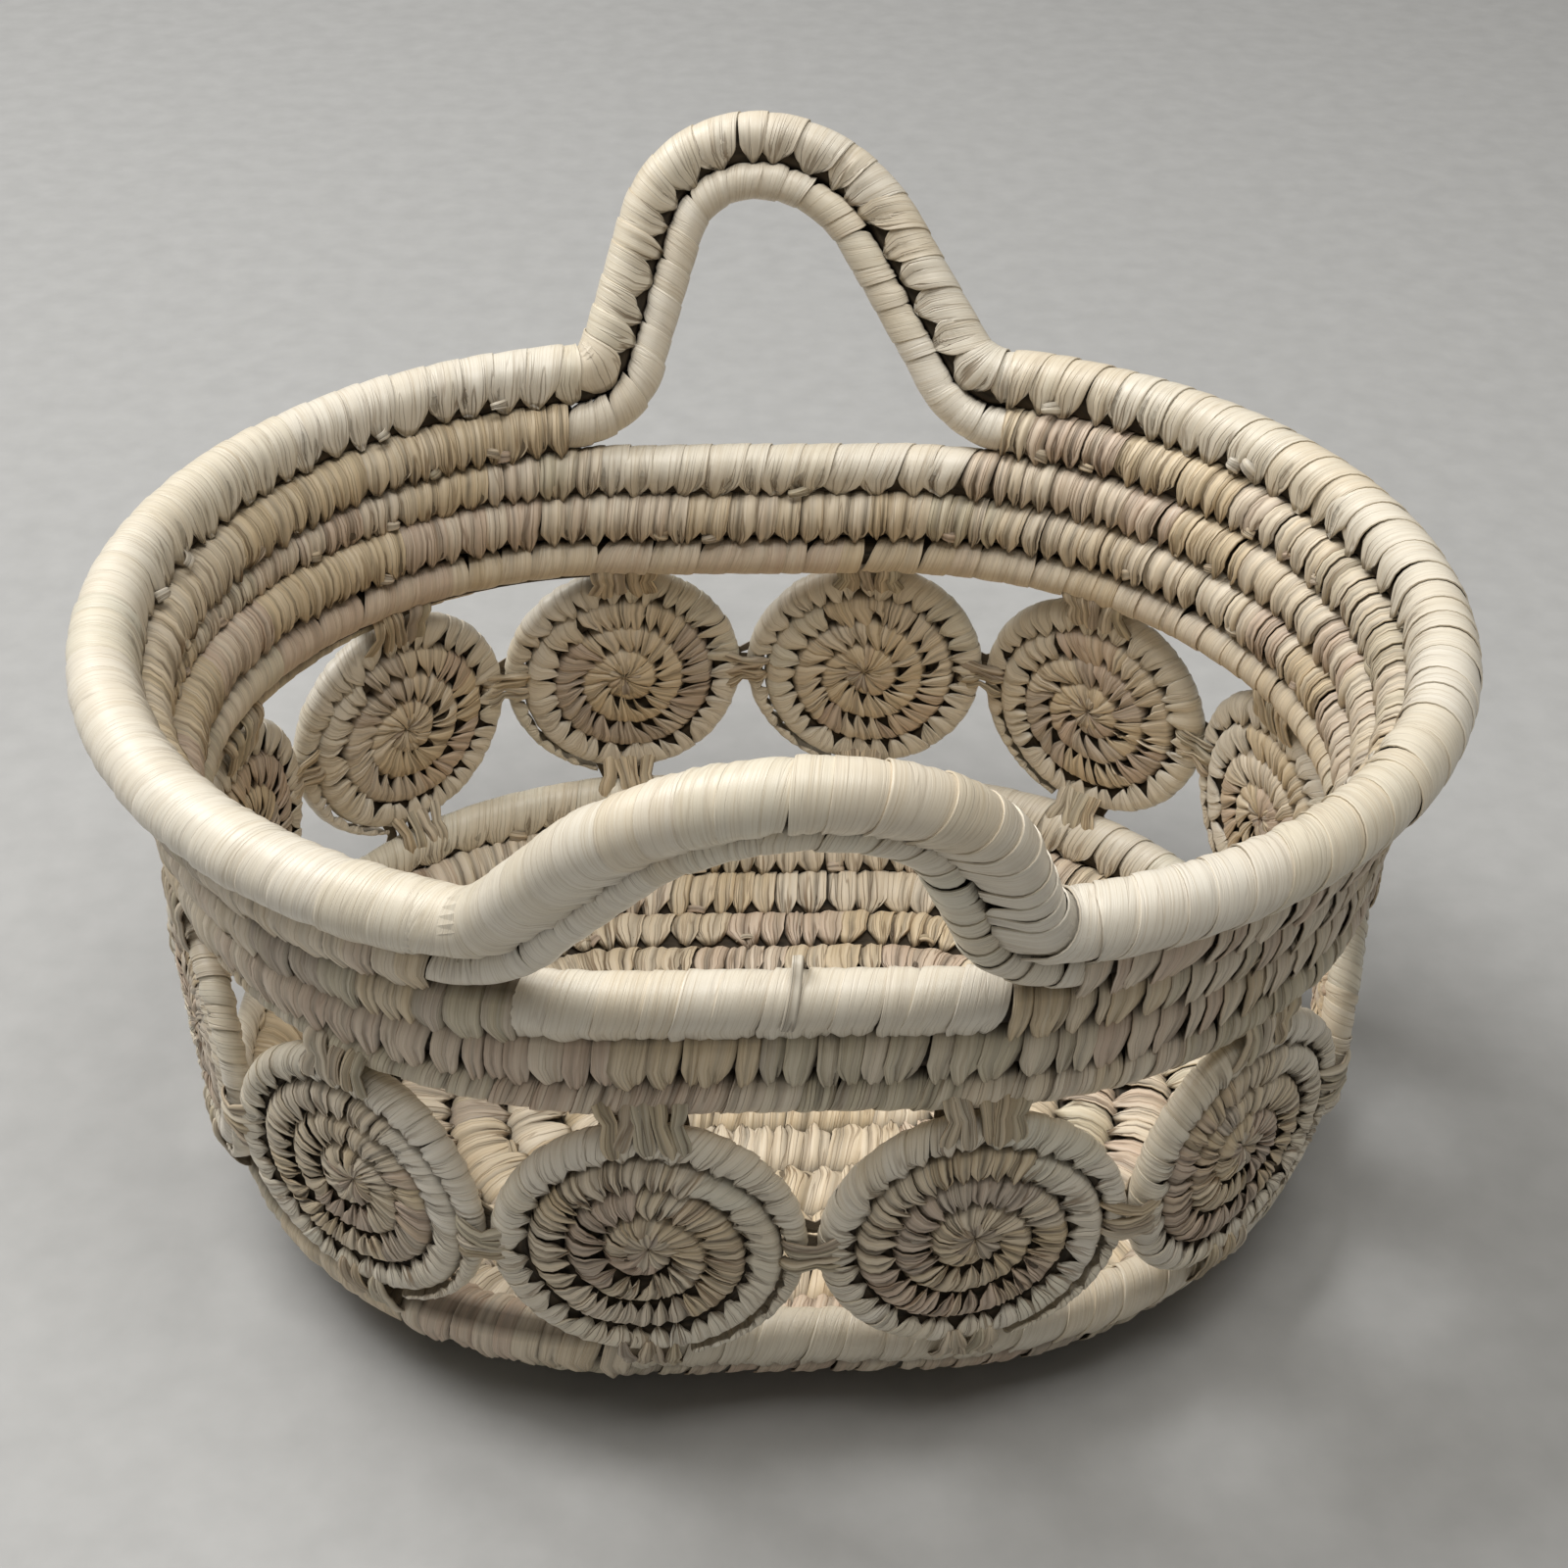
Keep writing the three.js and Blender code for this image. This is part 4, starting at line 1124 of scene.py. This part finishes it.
def tie_disc_to_row(work, index, way, profile, half_width, half_depth, offsets, rng):
    along = ALONG[index]
    edge = MIDDLES[index] + UP * (DISC_HEIGHT + way * DISC_EDGE)
    centre, across, face = row_by(MIDDLES[index], profile)
    joining = centre - edge
    joining = joining - along * np.dot(joining, along)
    distance = np.linalg.norm(joining)
    joining = joining / distance
    out = np.cross(along, joining)
    row_half = math.hypot(half_width * np.dot(across, out), half_depth * np.dot(face, out))
    ends = (-DISC_COIL / 2 - 0.4, distance)
    halves = (DISC_COIL / 2 + LASH_LIFT, row_half + LASH_LIFT)
    waist = (DISC_COIL + LASH_GAP) / 2
    offsets = offsets + rng.uniform(-0.9, 0.9, len(offsets))
    tie(work, edge, joining, out, ends, halves, waist, 0.15, offsets, 5.2, 0, rng)


def make_lashings():
    rng = np.random.default_rng(LASHING_SEED)
    joints, tops, feet = Leafwork(), Leafwork(), Leafwork()
    band_half = BAND_COIL / 2
    top_offsets = np.linspace(-10, 10, 5)
    foot_offsets = np.linspace(-7, 7, 4)
    for index in range(DISC_COUNT):
        tie_disc_to_disc(joints, index, rng)
        tie_disc_to_row(tops, index, 1, band_profile(0), band_half, band_half, top_offsets, rng)
        tie_disc_to_row(feet, index, -1, BOWL_TOP, BASE_COIL / 2, BASE_THICKNESS / 2, foot_offsets, rng)
    for work, name in ((joints, "joint"), (tops, "top"), (feet, "foot")):
        nodes = [f"{name}_lashing_{index + 1:02d}" for index in range(DISC_COUNT)]
        make_piece(work, f"{name}_lashings", "lash_leaf", *nodes)


make_bowl()
make_band()
make_rim_and_handles()
make_discs()
make_lashings()


# Stage


def make_floor():
    bpy.ops.mesh.primitive_circle_add(vertices=96, radius=4, fill_type="NGON")
    floor = bpy.context.object
    floor.name = "pale_floor"
    finish = Finish("pale_floor")
    grain = finish.noise(finish.object_place(), 60.0, 4.0)
    colour = finish.dyed(grain, FLOOR_STOPS)
    floor.data.materials.append(finish.surface({"Base Color": colour, "Roughness": 0.75}))


LAMP_TARGET = Vector((0, 0, 0.12))


def add_softbox(name, place, size, watts, colour):
    data = bpy.data.lights.new(name, "AREA")
    data.shape = "RECTANGLE"
    data.size, data.size_y = size
    data.energy = watts
    data.color = colour
    lamp = bpy.data.objects.new(name, data)
    lamp.location = place
    lamp.rotation_euler = (LAMP_TARGET - Vector(place)).to_track_quat("-Z", "Y").to_euler()
    bpy.context.scene.collection.objects.link(lamp)


def set_world():
    world = bpy.data.worlds.new("soft_daylight")
    world.use_nodes = True
    background = world.node_tree.nodes["Background"].inputs
    background["Color"].default_value = (1.0, 0.955, 0.87, 1)
    background["Strength"].default_value = 0.14
    bpy.context.scene.world = world


CAMERA_YAW = math.radians(-2.76)
CAMERA_ELEVATION = math.radians(36.0)
CAMERA_ROLL = math.radians(0.95)
CAMERA_DISTANCE = 0.763
CAMERA_TARGET = Vector((0.0030, 0.0, 0.1414))
CAMERA_LENS = 55.4
CAMERA_SENSOR = 36


def place_camera():
    data = bpy.data.cameras.new("photo_camera")
    data.lens = CAMERA_LENS
    data.sensor_width = CAMERA_SENSOR
    camera = bpy.data.objects.new("photo_camera", data)
    level = math.cos(CAMERA_ELEVATION)
    back = Vector((math.sin(CAMERA_YAW) * level, -math.cos(CAMERA_YAW) * level, math.sin(CAMERA_ELEVATION)))
    right = Vector((math.cos(CAMERA_YAW), math.sin(CAMERA_YAW), 0))
    up = back.cross(right)
    rolled = right * math.cos(CAMERA_ROLL) + up * math.sin(CAMERA_ROLL)
    tall = up * math.cos(CAMERA_ROLL) - right * math.sin(CAMERA_ROLL)
    turn = Matrix((rolled, tall, back)).transposed()
    camera.matrix_world = Matrix.Translation(CAMERA_TARGET + back * CAMERA_DISTANCE) @ turn.to_4x4()
    bpy.context.scene.collection.objects.link(camera)
    bpy.context.scene.camera = camera


make_floor()
set_world()
add_softbox("window", (-1.5, 0.75, 2.5), (1.6, 1.6), 70, (1.0, 0.995, 0.985))
add_softbox("ceiling", (0.1, -0.5, 2.4), (1.6, 1.2), 30, (1.0, 0.985, 0.95))
place_camera()
bpy.context.scene.view_settings.view_transform = "Standard"
